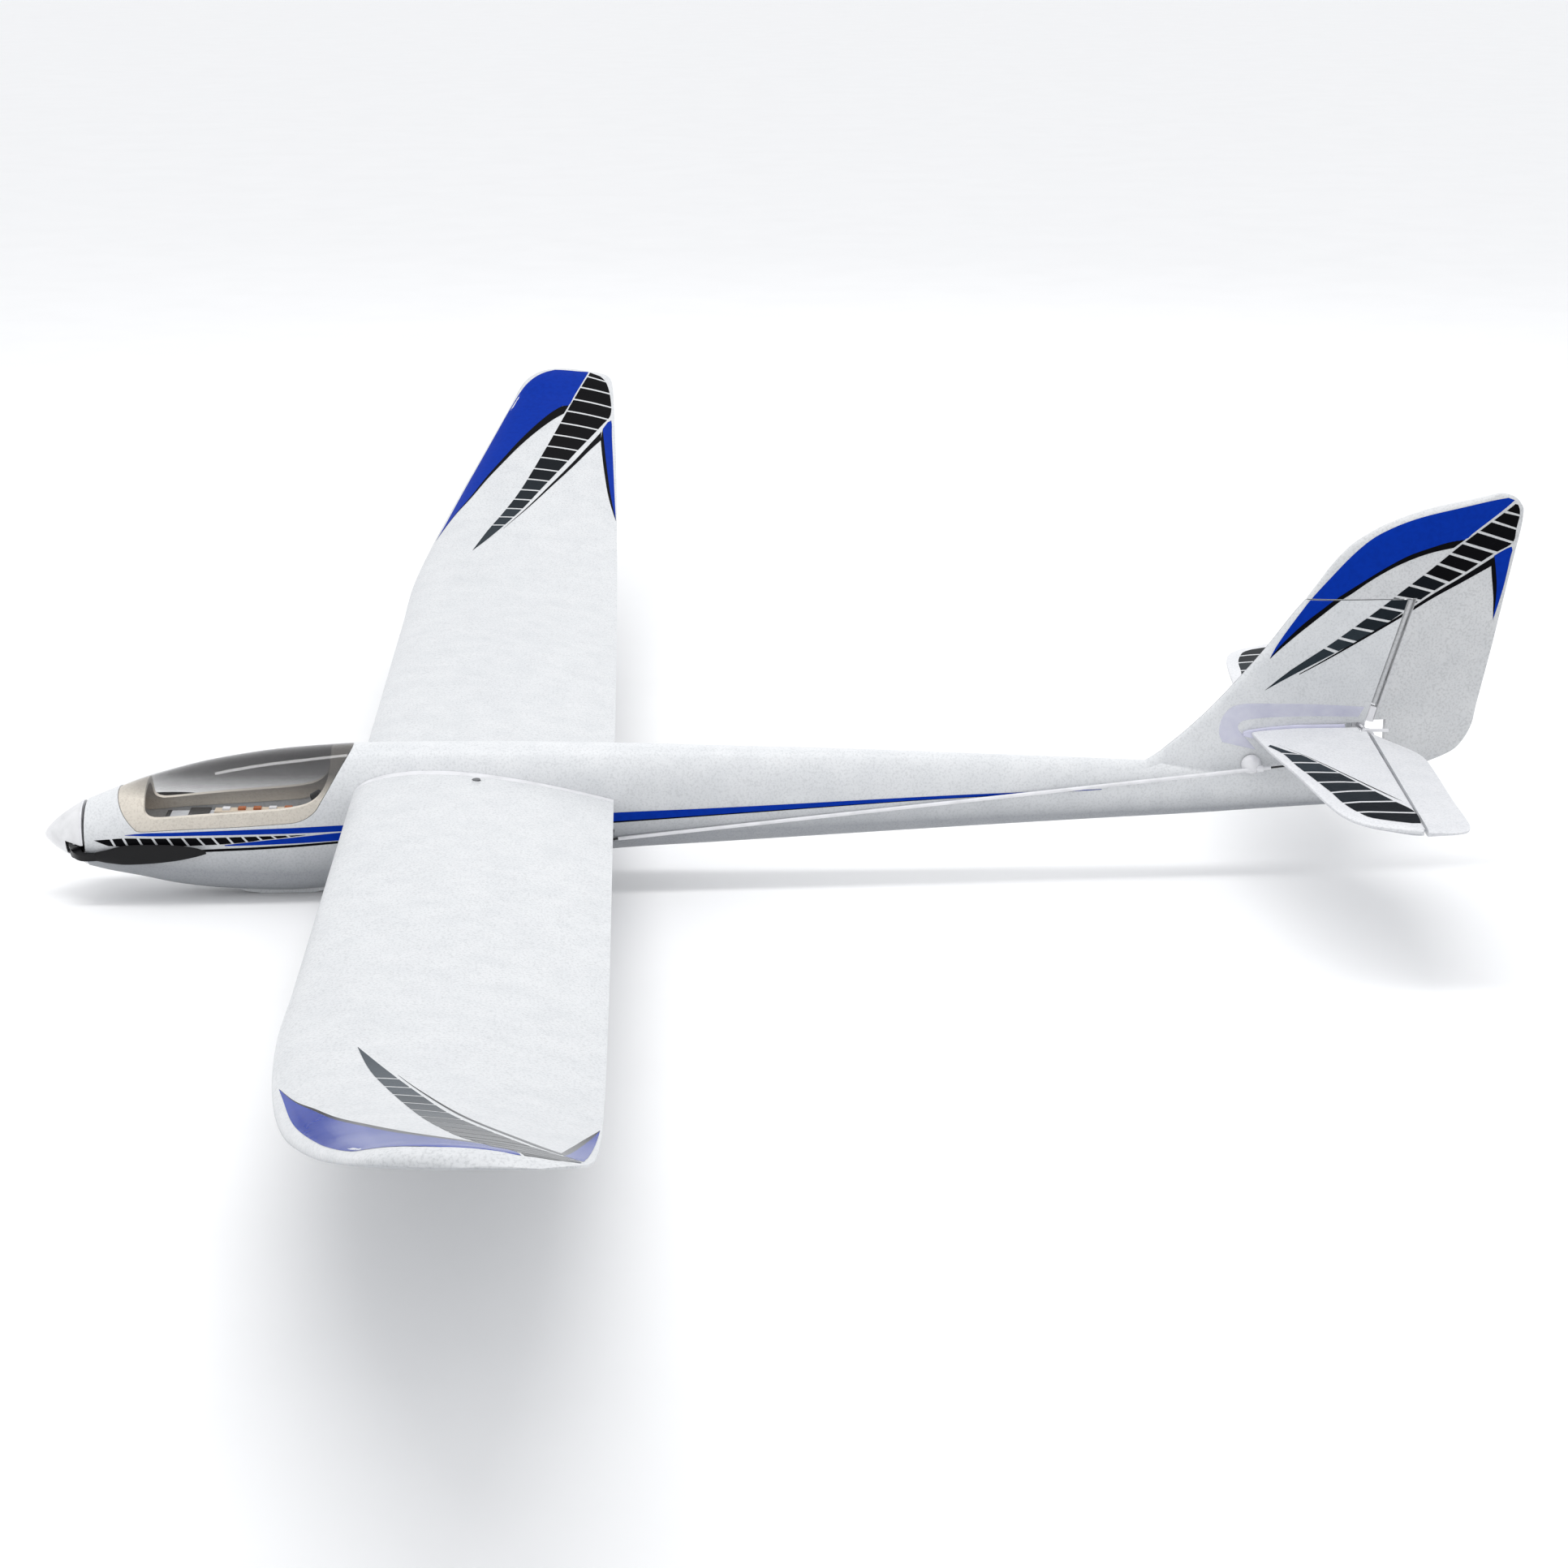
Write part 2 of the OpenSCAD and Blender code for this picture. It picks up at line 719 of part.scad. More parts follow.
// Rim moulding between the fin side and the tailplane root
module stab_fairing() {
  difference() {
    skin([for (y = [6.2, 8.8]) fairing_ring(y)], true);
    box([900, -6, 100], [1060, 5.6, 140]);
    y_cylinder(965, 0, stab_z, 20, 2 + fit_gap);
    y_cylinder(1004, 0, stab_z, 20, 2 + fit_gap);
  }
}

function fairing_ring(y, n = 8) =
  let (le = 933, te = 1013, h = stab_thick / 2 + 2)
  concat(
    [for (i = [0:n]) let (t = 1 - cos(90 * i / n))
      [le + (te - le) * t, y, stab_z + h * min(1, 0.15 + 1.2 * sqrt(t))]],
    [for (i = [n:-1:0]) let (t = 1 - cos(90 * i / n))
      [le + (te - le) * t, y, stab_z - h * min(1, 0.15 + 1.2 * sqrt(t))]]
  );

module stab_fairing_left() {
  color("lavender") placed() mirror([0, 1, 0]) stab_fairing();
}

module stab_fairing_right() {
  color("lavender") placed() stab_fairing();
}

module elevator_shape(side) {
  ys = [elev_root, 26, 33, 40, 48, 55, 62, 71, 80, 97, 115, 146, 177, 205, 233, 243, 249, 253];
  skin([for (y = ys)
    let (
      te = curve(ELEV, y, 1),
      le = elev_x(y) + 1.4,
      h = stab_half_t(y) * sqrt(max(1 - pow(max(y - 245, 0) / 9, 2), 0.06)),
      k = min(1, (te - le) / 12)
    )
    tail_ring(y, side, le, te, h * (0.4 + 0.6 * k), 0.6, 5)], side > 0);
}

module elevator(side) {
  difference() {
    elevator_shape(side);
    scale_side(side) elevator_hinge_room();
  }
}

module elevator_left() {
  color(foam) placed() elevator(-1);
}

module elevator_right() {
  color(foam) placed() elevator(1);
}

HINGE_Y = [70, 200];

module elevator_hinge_room() {
  for (y = HINGE_Y) translate([elev_x(y), y, stab_z]) box([-10, -6.3, -0.8], [10, 6.3, 0.8]);
}

// Thin nylon hinges: each leaf is set in the tailplane and carries the pin
module elevator_hinges() {
  color("gainsboro") placed() both_sides() for (y = HINGE_Y) translate([elev_x(y), y, stab_z])
    rotate([0, 0, atan(elev_hinge_slope)]) {
      box([-9.4, -5.2, -0.5], [-1, 5.2, 0.5]);
      translate([0, -2.4, 0]) rotate([-90, 0, 0]) cylinder(h = 4.8, r = 1.1);
    }
}

// Frame on the starboard elevator's hinge line, +Y outboard
module on_elevator_hinge() {
  translate([elev_hinge_x, 0, stab_z]) rotate([0, 0, atan(elev_hinge_slope)]) children();
}

// Round root boss with a finger on the elevator; one side has the torque arm
module elevator_root(side, arm) {
  scale_side(side) on_elevator_hinge() {
    difference() {
      union() {
        y_cylinder(0, 13.2, 0, 5.4, 5.2);
        box([0, 15, -1.6], [5, 18.6, 1.6]);
        box([0, 15.4, 3.6], [16, 18.4, 5.2]);
        if (arm) box([-2.6, 15.6, -elevator_arm - 3], [2.6, 17.4, 0]);
      }
      if (arm) {
        y_cylinder(0, 12, 0, 5.2, joiner_r + fit_gap);
        y_cylinder(0, 15, -elevator_arm, 4, 0.9);
      }
    }
    if (!arm) y_cylinder(0, 0.4, 0, 13.2, joiner_r);
  }
}

module elevator_root_left() {
  color("whitesmoke") placed() elevator_root(-1, false);
}

module elevator_root_right() {
  color("whitesmoke") placed() elevator_root(1, true);
}

module elevator_joiner() {
  color("silver") placed() on_elevator_hinge() y_cylinder(0, 0.4, 0, 16.2, joiner_r);
}

// ---- Fin and rudder -------------------------------------------------------

module fin_led_pocket() {
  box([985, -1, 150], [990, 1, 206]);
}

module fin_led() {
  color("ivory") placed() box([985.3, -0.6, 151], [989.7, 0.6, 205]);
}

// Half thickness of the boom's end, carried on over the foot of the rudder
function foot_y(z) = 4.6 * sqrt(max(0, 1 - pow((z - 73) / 15.5, 2)));

function rudder_ring(z, x0, tab, thin, n = 8) =
  let (
    le = curve(tab, z, 1),
    te = curve(tab, z, 2),
    start = max(x0, le),
    root = 1 + 0.5 * pow(max(0, (130 - z) / 60), 2),
    pts = [for (i = [0:n])
      let (
        u = i / n,
        x = start + (te - start) * (x0 > le ? u : 1 - cos(90 * u)),
        h = fin_half * root * max(foil_half((x - le) / (te - le)), 0)
      )
      [x, (max(h, foot_y(z) * (1 - u)) + 0.4) * thin]]
  )
  concat([for (p = pts) [p[0], -p[1], z]], [for (i = [n:-1:0]) [pts[i][0], pts[i][1], z]]);

RUDDER_Z = [62, 66, 71, 77, 84, 91, 97, 102, 108, 114, 122, 140, 170, 200, 226];

module rudder() {
  color(foam) placed() difference() {
    union() {
      skin([for (z = RUDDER_Z) rudder_ring(z, hinge_x(z) + 3.2, FIN, 1)], true);
      skin([for (z = concat([fin_top + 0.6], spread(232, 288, 8), spread(292, 306.8, 6)))
        rudder_ring(z, 0, CAP, sqrt(max(1 - pow(max(z - 290, 0) / 17.5, 2), 0.04)))], true);
    }
    box([1015, -14, stab_z - 9], [1046, 14, stab_z + 9]);
    hinge_pockets();
    barrel(5.1, 0.4);
  }
}

HINGE_Z = [78, 165, 206];
barrel_z = 127;

// Round housing on the hinge line above the tailplane
module barrel(r, clear) {
  at_rudder_hinge(barrel_z) translate([0, 0, -clear]) cylinder(h = 12 + 2 * clear, r = r);
}

module hinge_barrel() {
  color("whitesmoke") placed() difference() {
    barrel(4.7, 0);
    barrel(1.6, 1);
  }
}

module at_rudder_hinge(z) {
  translate([hinge_x(z), 0, z]) rotate([0, hinge_tilt, 0]) children();
}

module hinge_pockets() {
  for (z = HINGE_Z) at_rudder_hinge(z) box([-11, -0.8, -5.6], [11, 0.8, 5.6]);
}

module rudder_hinges() {
  color("gainsboro") placed() for (z = HINGE_Z) at_rudder_hinge(z) {
    box([-10.4, -0.5, -5], [-1, 0.5, 5]);
    translate([0, 0, -2.4]) cylinder(h = 4.8, r = 1.1);
  }
}

// Plastic control horn screwed to the port side of the rudder
module rudder_horn() {
  z = 96;
  color("gainsboro") placed() at_rudder_hinge(z) difference() {
    union() {
      box([4, -5.7, -4], [14, -4.1, 4]);
      box([2.2, -9, -0.8], [8, -5, 0.8]);
      box([-2.4, -rudder_arm - 2.6, -0.8], [5, -8, 0.8]);
    }
    translate([0, -rudder_arm, -2]) cylinder(h = 4, r = 0.9);
  }
}

// ---- Pushrods -------------------------------------------------------------

function rod_y(x) = rod_a[1] + (rod_b[1] - rod_a[1]) * (x - rod_a[0]) / (rod_b[0] - rod_a[0]);
function rod_z(x) = rod_a[2] + (rod_b[2] - rod_a[2]) * (x - rod_a[0]) / (rod_b[0] - rod_a[0]);
rod_rise = atan((rod_b[2] - rod_a[2]) / (rod_b[0] - rod_a[0]));
rod_turn = atan((rod_b[1] - rod_a[1]) / (rod_b[0] - rod_a[0]));
function rod_len(x0, x1) = norm([x1 - x0, rod_y(x1) - rod_y(x0), rod_z(x1) - rod_z(x0)]);

// Cylinder along the starboard pushrod line between two places on X
module rod_path(x0, x1, r) {
  translate([x0, rod_y(x0), rod_z(x0)])
    rotate([0, 0, rod_turn]) rotate([0, 90 - rod_rise, 0])
      cylinder(h = rod_len(x0, x1), r = r, $fn = 24);
}

module pushrod_tube() {
  difference() {
    rod_path(tube_from, tube_to, tube_r);
    rod_path(tube_from - 2, tube_to + 2, wire_r + 0.15);
  }
}

module rudder_tube() {
  color("gainsboro") placed() mirror([0, 1, 0]) pushrod_tube();
}

module elevator_tube() {
  color("gainsboro") placed() pushrod_tube();
}

module tube_guides() {
  color("white") placed() both_sides() difference() {
    union() {
      translate([guide_x, 6.4, 94]) sphere(r = 8);
      rod_path(944, 949, 2.6);
    }
    rod_path(900, 980, tube_r + fit_gap);
    box([920, -2, 80], [960, 7.6, 110]);
  }
}

// Wire from a servo arm to the tube's mouth, then straight on through the tube
module pushrod(servo_x, x1) {
  a = [servo_x, 20.2, servo_z - servo_arm];
  b = [bend_x, rod_y(bend_x), rod_z(bend_x)];
  d = b - a;
  translate(a) rotate([0, 0, atan2(d[1], d[0])]) rotate([0, 90 - atan2(d[2], norm([d[0], d[1]])), 0])
    cylinder(h = norm(d) - 0.5, r = wire_r);
  rod_path(b[0] - 2.5, b[0] + 2.5, 1.4);
  rod_path(b[0] + 0.5, x1, wire_r);
  rod_path(x1 - 9, x1, 1.7);
}

module rudder_pushrod() {
  color([0.1, 0.1, 0.1]) placed() mirror([0, 1, 0]) pushrod(rudder_servo_x, 1014);
}

module elevator_pushrod() {
  color([0.1, 0.1, 0.1]) placed() pushrod(elevator_servo_x, 1022);
}

module servo_horn(x, side) {
  scale_side(side) difference() {
    union() {
      y_cylinder(x, 17.2, servo_z, 1.7, 3.4);
      box([x - 1.7, 17.4, servo_z - servo_arm - 2], [x + 1.7, 18.8, servo_z]);
    }
    y_cylinder(x, 15, servo_z, 5, 2 + fit_gap);
    y_cylinder(x, 15, servo_z - servo_arm, 5, wire_r + fit_gap);
  }
}

module rudder_servo_arm() {
  color("white") placed() servo_horn(rudder_servo_x, -1);
}

module elevator_servo_arm() {
  color("white") placed() servo_horn(elevator_servo_x, 1);
}

// ---- Propeller ------------------------------------------------------------

function spinner_profile(inset) = [for (i = [0:14])
  let (x = spinner_len * pow(i / 14, 1.6))
  [max(spinner_r * pow(x / spinner_len, 0.65) - inset, 0), max(x, inset * 1.6)]];

// Solid of revolution around the thrust line
module turned(points) {
  rotate([0, 90, 0]) rotate_extrude() polygon(points);
}

module blade_slots(x0, x1) {
  for (a = [0, 180]) rotate([blade_tilt + 90 + a, 0, 0]) box([x0, -6.1, 9], [x1, 6.1, 40]);
}

module spinner() {
  color("white") placed() on_thrust() difference() {
    turned(concat(spinner_profile(0), [[0, spinner_len]]));
    turned(concat(spinner_profile(1.5), [[spinner_r - 1.5, spinner_len + 1], [0, spinner_len + 1]]));
    blade_slots(18.5, spinner_len + 1);
    x_cylinder(-1, 0, 0, 6, 1.6);
  }
}

module spinner_backplate() {
  color("white") placed() on_thrust() difference() {
    x_cylinder(spinner_len, 0, 0, 1.5, spinner_r - 0.2);
    blade_slots(spinner_len - 1, spinner_len + 4);
    x_cylinder(spinner_len - 1, 0, 0, 4, 4.06);
  }
}

module blade_yoke() {
  color([0.1, 0.1, 0.1]) placed() on_thrust() difference() {
    union() {
      x_cylinder(20.5, 0, 0, spinner_len - 20.5, 8);
      for (a = [0, 180]) rotate([blade_tilt + 90 + a, 0, 0]) for (s = [-1, 1]) {
        box([pin_x - 2.6, s > 0 ? 3.3 : -yoke_half, 5], [spinner_len, s > 0 ? yoke_half : -3.3, pin_r]);
        y_cylinder(pin_x, s > 0 ? 3.3 : -yoke_half, pin_r, yoke_half - 3.3, 4.3);
      }
    }
    x_cylinder(19, 0, 0, 20, 4.06);
    for (a = [0, 180]) rotate([blade_tilt + 90 + a, 0, 0])
      y_cylinder(pin_x, -8, pin_r, 16, blade_pin_r + fit_gap);
  }
}

module prop_shaft() {
  color("silver") placed() on_thrust() union() {
    x_cylinder(14, 0, 0, 20, 4);
    x_cylinder(34, 0, 0, 24.5, 2);
    x_cylinder(11, 0, 0, 3, 2.5);
    translate([15, 0, 0]) rotate([0, 90, 0]) cylinder(h = 5, r = 5.5, $fn = 6);
  }
}

module motor_bell() {
  color("dimgray") placed() on_thrust() difference() {
    x_cylinder(bell_x, 0, 0, 20, bell_r);
    x_cylinder(bell_x + 2, 0, 0, 20, bell_r - 2);
    x_cylinder(bell_x - 1, 0, 0, 4, 2 + fit_gap);
    for (a = [0:60:300]) rotate([a, 0, 0]) x_cylinder(bell_x - 1, 0, 9, 4, 2.2);
  }
}

module spinner_screw() {
  color("silver") placed() on_thrust() union() {
    x_cylinder(1.8, 0, 0, 9, 1.5);
  }
}

module blade_pins() {
  color("silver") placed() on_thrust() for (a = [0, 180]) rotate([blade_tilt + 90 + a, 0, 0])
    y_cylinder(pin_x, -6, pin_r, 12, blade_pin_r);
}

// Blade in the frame of its pin: folded aft, +Z out from the shaft
BLADE = [
  [0, -4, 4.5, 2.6], [8, -5.4, 6.2, 2.4], [24, -5.6, 9.6, 2.2], [44, -4.2, 10.6, 2],
  [62, -1.8, 10.6, 1.8], [74, 0.8, 9.6, 1.5], [81, 2.6, 8.2, 1.2], [86, 4.2, 6.2, 0.9]
];
blade_from = [43, 31];
blade_splay = 5.5;
blade_pitch = 0.32;

function blade_ring(s, n = 10) =
  let (
    lo = curve(BLADE, s, 1),
    hi = curve(BLADE, s, 2),
    t = curve(BLADE, s, 3),
    x = blade_from[0] + s * cos(blade_splay),
    r = blade_from[1] + s * sin(blade_splay)
  )
  [for (i = [0:n - 1])
    let (a = 360 * i / n)
    [x, (lo + hi) / 2 + (hi - lo) / 2 * cos(a),
     r + t / 2 * sin(a) - blade_pitch * (hi - lo) / 2 * cos(a) * min(1, s / 20)]];

module blade(turn) {
  arm = [[22.2, 19], [29.6, 19], [32.6, 27.6], [44, 29.9], [44, 32.2], [31, 31.4], [24, 25.6]];
  on_thrust() rotate([blade_tilt + 90 + turn, 0, 0]) difference() {
    union() {
      y_cylinder(pin_x, -blade_root_half, pin_r, 2 * blade_root_half, 4);
      rotate([90, 0, 0]) translate([0, 0, -blade_root_half])
        linear_extrude(height = 2 * blade_root_half) polygon(arm);
      skin([for (s = spread(0, blade_len, 12)) blade_ring(s)], true);
    }
    y_cylinder(pin_x, -8, pin_r, 16, blade_pin_r + 0.06);
  }
}

module blade_left() {
  color([0.08, 0.08, 0.08]) placed() blade(0);
}

module blade_right() {
  color([0.08, 0.08, 0.08]) placed() blade(180);
}

// ---- Canopy ---------------------------------------------------------------

CANOPY_X = concat([57], spread(62, 242, 15), [249]);

module canopy_band(outer, inner) {
  for (side = [-1, 1]) skin([for (x = CANOPY_X) band_ring(x, side, outer, inner)], side < 0);
}

// Half ring of the canopy skin; the two halves overlap a little at the top
function band_ring(x, side, outer, inner, n = 9) = concat(
  [for (i = [0:n]) arc_point(x, side, outer, 90 - 130 * i / n)],
  [for (i = [0:n]) arc_point(x, side, inner, -40 + 130 * i / n)]
);

module canopy_frame() {
  color("antiquewhite") placed() difference() {
    intersection() {
      canopy_band(glazing_t + 0.1, frame_t);
      side_prism(CANOPY);
    }
    side_prism(WINDOW);
  }
}

module canopy_glazing() {
  color(clear_grey) placed() intersection() {
    canopy_band(0, glazing_t);
    side_prism(CANOPY);
  }
}

// ---- Parts ----------------------------------------------------------------

fuselage_left();
fuselage_right();
belly_skid();
motor_mount();
motor_stator();
motor_screws();
esc();
battery_tray();
battery();
battery_strap();
receiver();
led_controller();
led_strip();
servo_tray();
rudder_servo();
elevator_servo();
servo_screws();
wing_tube();
wing_left();
wing_right();
wing_rib_left();
wing_rib_right();
wing_screws();
wing_led_left();
wing_led_right();
stab_left();
stab_right();
stab_tube();
stab_fairing_left();
stab_fairing_right();
fin_led();
hinge_barrel();
rudder_hinges();
elevator_hinges();
rudder_tube();
elevator_tube();
tube_guides();
spinner();
spinner_backplate();
blade_yoke();
prop_shaft();
motor_bell();
spinner_screw();
blade_pins();
blade_left();
blade_right();
rudder();
rudder_horn();
elevator_left();
elevator_right();
elevator_root_left();
elevator_root_right();
elevator_joiner();
rudder_pushrod();
elevator_pushrod();
rudder_servo_arm();
elevator_servo_arm();
canopy_frame();
canopy_glazing();
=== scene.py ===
"""Looks of the foam radio-controlled glider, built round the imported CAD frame."""

import json
import math

import bmesh
import bpy
from mathutils import Matrix, Vector
from mathutils.bvhtree import BVHTree
from mathutils.interpolate import poly_3d_calc

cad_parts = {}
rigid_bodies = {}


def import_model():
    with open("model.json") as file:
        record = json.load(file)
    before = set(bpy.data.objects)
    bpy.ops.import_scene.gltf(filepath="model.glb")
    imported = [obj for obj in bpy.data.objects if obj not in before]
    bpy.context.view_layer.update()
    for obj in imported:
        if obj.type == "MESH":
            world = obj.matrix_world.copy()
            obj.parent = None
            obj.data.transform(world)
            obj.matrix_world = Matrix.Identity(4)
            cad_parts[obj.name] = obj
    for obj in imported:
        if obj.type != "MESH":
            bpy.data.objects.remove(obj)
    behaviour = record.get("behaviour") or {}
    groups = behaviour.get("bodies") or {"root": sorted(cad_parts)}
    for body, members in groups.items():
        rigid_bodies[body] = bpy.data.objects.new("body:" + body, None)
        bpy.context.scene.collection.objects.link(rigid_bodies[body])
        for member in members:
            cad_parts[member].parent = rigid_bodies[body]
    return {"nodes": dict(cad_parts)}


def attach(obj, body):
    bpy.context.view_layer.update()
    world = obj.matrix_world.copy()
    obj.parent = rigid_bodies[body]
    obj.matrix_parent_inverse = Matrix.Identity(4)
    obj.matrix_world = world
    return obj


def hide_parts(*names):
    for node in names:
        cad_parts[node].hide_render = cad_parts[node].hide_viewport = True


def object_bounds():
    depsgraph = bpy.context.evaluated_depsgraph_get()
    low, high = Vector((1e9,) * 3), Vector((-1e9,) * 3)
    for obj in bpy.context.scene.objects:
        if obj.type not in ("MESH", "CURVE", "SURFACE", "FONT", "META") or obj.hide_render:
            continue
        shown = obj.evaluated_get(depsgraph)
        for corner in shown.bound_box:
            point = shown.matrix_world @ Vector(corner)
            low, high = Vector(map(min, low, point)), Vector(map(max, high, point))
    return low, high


for default_object in list(bpy.data.objects):
    bpy.data.objects.remove(default_object)

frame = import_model()
cad_lo, cad_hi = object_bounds()

MM = 0.001
LENGTH = 1143.0
SIDES = ((-1, "left"), (1, "right"))

# ---- Shape tables: the same stations as the CAD, in millimetres ------------

# x, top, bottom, half width
BODY = [
    (34.8, 76.9, 25.3, 25.7), (50, 83, 21.3, 28.6), (75, 92.6, 15.8, 30.8),
    (100, 99.8, 9.8, 32.2), (125, 106, 6.0, 33), (150, 110.6, 3.8, 33.5),
    (175, 114.2, 2.4, 33.6), (200, 116.6, 2.6, 33.2), (240, 119, 6.2, 30),
    (262, 119.3, 8.8, 28.8), (300, 119.2, 13.5, 28.4), (350, 118.6, 20.5, 27.6),
    (400, 117.6, 27, 26.2), (444, 116.2, 31.6, 24.4), (520, 113.2, 35.2, 20.8),
    (620, 109.2, 40, 17.3), (722, 103.8, 44.9, 14), (825, 98.2, 49.4, 11),
    (900, 93.5, 52.4, 8.8), (960, 90, 55.6, 6.8), (1010, 88, 58, 5),
]
BODY_POWER = 2.2
WALL = 5

# distance from the centre plane, leading edge x, trailing edge x, trailing edge z
WING = [
    (27, 241.5, 441.2, 77.9), (250, 243, 441.3, 83.3), (450, 244, 441.2, 87.5),
    (550, 246, 441, 95.7), (650, 256, 440.8, 108.3), (750, 274.5, 440.4, 131.8),
    (850, 301.5, 439.5, 167.8), (930, 326.5, 437.6, 202.8), (965, 338, 436.4, 219.5),
    (980, 348, 434.4, 226.5), (989, 362, 429, 230.5), (995, 385, 418, 233),
]
WING_ROOT = 29
HALF_SPAN = 995
CAMBER_UP, CAMBER_DOWN, INCIDENCE, EDGE = 0.099, 0.018, 0.037, 1.2

# height, leading edge x, trailing edge x
FIN = [
    (58, 858, 1013), (84, 860, 1062), (97, 864, 1094), (104, 870, 1105),
    (120, 888.5, 1114.5), (138, 907, 1117.8), (158, 925, 1121.5), (187, 949, 1126.8),
    (215, 969.5, 1131.4), (228, 980.5, 1133.6),
]
CAP = [
    (226, 978.5, 1133.2), (240, 988.3, 1135.5), (251, 996, 1137.4), (261, 1004.5, 1139),
    (270, 1014.2, 1140.6), (281, 1032, 1142.4), (289, 1050.5, 1143),
    (295, 1069, 1142.9), (300, 1091, 1140), (303, 1106, 1137.2), (305.5, 1117, 1132.8),
    (307, 1123, 1127),
]
FIN_HALF, FIN_TOP = 5, 225
FIN_FROM, TAIL_END, TAIL_FOOT = 866, 1009.9, 58
# where the leaning rudder hinge line passes, and its lean
HINGE_X, HINGE_Z, HINGE_LEAN = 1035.3, 136.6, 0.283

# distance from the centre plane, edge x
STAB = [
    (9, 939.5), (56, 943.5), (116, 951.5), (186, 959), (216, 965.5), (233, 977),
    (242, 992), (250, 1010),
]
ELEV = [
    (19, 1035.5), (33, 1041.5), (48, 1048.5), (62, 1054.5), (80, 1057.5),
    (115, 1056), (177, 1051.5), (233, 1048.5), (243, 1046), (250, 1041), (254, 1030),
]
STAB_HALF, STAB_Z, STAB_THICK = 255, 119, 9
ELEV_HINGE, ELEV_SLOPE, ELEV_GAP = 1030, 0.068, 1.4

# the fin's upper end starts here and thins from the second height on
CAP_FROM, CAP_ROUND = 225.6, (290, 17.5, 0.04)

# carbon tubes, screws, hinges and the ends of a pushrod tube's line
TUBE_X, TUBE_Z, TUBE_HOLE = 305, 93, 3.05
STAB_TUBES = (965, 1004)
SCREW_X, SCREW_Y = 337, 40
RUDDER_HINGES, BARREL_Z, ELEV_HINGES = (78, 165, 206), 127, (70, 200)
ROD_FORE, ROD_AFT = (449, 20.2, 45.6), (940.5, 12.6, 91.2)

# side outlines of the canopy and of its window
CANOPY = [
    (56, 140), (59, 95.5), (60.5, 85), (64.5, 74.8), (70.3, 66.4), (74, 62.4),
    (79, 60.2), (104, 61.6), (156, 63.8), (190, 65.8), (199, 67), (206, 69.8),
    (212.5, 75), (217, 82), (223, 91.5), (233.4, 108.1), (247.2, 127.5), (256, 140),
]
WINDOW = [
    (84, 140), (83.6, 99), (82, 86), (82, 76), (83.5, 72.4), (87, 70.4), (95, 70),
    (130, 72.6), (183, 76), (200, 78.2), (208, 80.6), (214.5, 85.1), (219.5, 92),
    (222.5, 99), (224.4, 108), (225, 140),
]

NOSE_Z, THRUST_DOWN = 49.6, math.radians(2.5)
SPINNER_LEN, SPINNER_R = 31.5, 25
BLADE_TILT, PIN_X, PIN_R = 22, 26, 20.5
BLADE = [
    (0, -4, 4.5, 2.6), (8, -5.4, 6.2, 2.4), (24, -5.6, 9.6, 2.2), (44, -4.2, 10.6, 2),
    (62, -1.8, 10.6, 1.8), (74, 0.8, 9.6, 1.5), (81, 2.6, 8.2, 1.2), (86, 4.2, 6.2, 0.9),
]
BLADE_ARM = [
    (22.2, 19), (29.6, 19), (32.6, 27.6), (44, 29.9), (44, 32.2), (31, 31.4), (24, 25.6),
]
BLADE_FROM, BLADE_SPLAY, BLADE_PITCH = (43, 31), math.radians(5.5), 0.32

# how far film stands off, and the steps that its slope is measured over
STICKER_LIFT, STEP, CHORD_STEP = 0.14, 0.4, 0.002

# edges sharper than this show, and a cut face keeps normals within these limits
CREASE = math.radians(38)
SAME_SURFACE, SAME_WAY = 2e-5, 0.86


# ---- Curves ----------------------------------------------------------------

def curve(tab, x, c):
    """Smooth curve through column c of a table of stations."""
    i = 0
    while i < len(tab) - 2 and x >= tab[i + 1][0]:
        i += 1

    def slope(k):
        a, b = max(k - 1, 0), min(k + 1, len(tab) - 1)
        return (tab[b][c] - tab[a][c]) / (tab[b][0] - tab[a][0])

    h = tab[i + 1][0] - tab[i][0]
    u = min(max((x - tab[i][0]) / h, 0), 1)
    return ((2 * u**3 - 3 * u * u + 1) * tab[i][c] + (u**3 - 2 * u * u + u) * slope(i) * h
            + (3 * u * u - 2 * u**3) * tab[i + 1][c] + (u**3 - u * u) * slope(i + 1) * h)


def line(points, x):
    """Straight interpolation through (x, value) pairs."""
    if x <= points[0][0]:
        return points[0][1]
    for (x0, v0), (x1, v1) in zip(points, points[1:]):
        if x <= x1:
            return v0 + (v1 - v0) * (x - x0) / (x1 - x0)
    return points[-1][1]


def spread(a, b, n):
    return [a + (b - a) * i / n for i in range(n + 1)]


def signed_power(v, p):
    return math.copysign(abs(v) ** p, v)


def hinge_x(z):
    """Rudder hinge line in the centre plane."""
    return HINGE_X + HINGE_LEAN * (z - HINGE_Z)


def elev_x(y):
    """Elevator hinge line."""
    return ELEV_HINGE - ELEV_SLOPE * y


def smooth_run(points, per_span=5):
    """Points along a smooth curve through the given ones."""
    out = []
    n = len(points)
    for i in range(n - 1):
        p0, p1 = points[max(i - 1, 0)], points[i]
        p2, p3 = points[i + 1], points[min(i + 2, n - 1)]
        for k in range(per_span):
            u = k / per_span
            out.append(tuple(
                0.5 * (2 * b + (c - a) * u + (2 * a - 5 * b + 4 * c - d) * u * u
                       + (3 * b - a - 3 * c + d) * u**3)
                for a, b, c, d in zip(p0, p1, p2, p3)))
    out.append(tuple(points[-1]))
    return out


# ---- Surfaces --------------------------------------------------------------

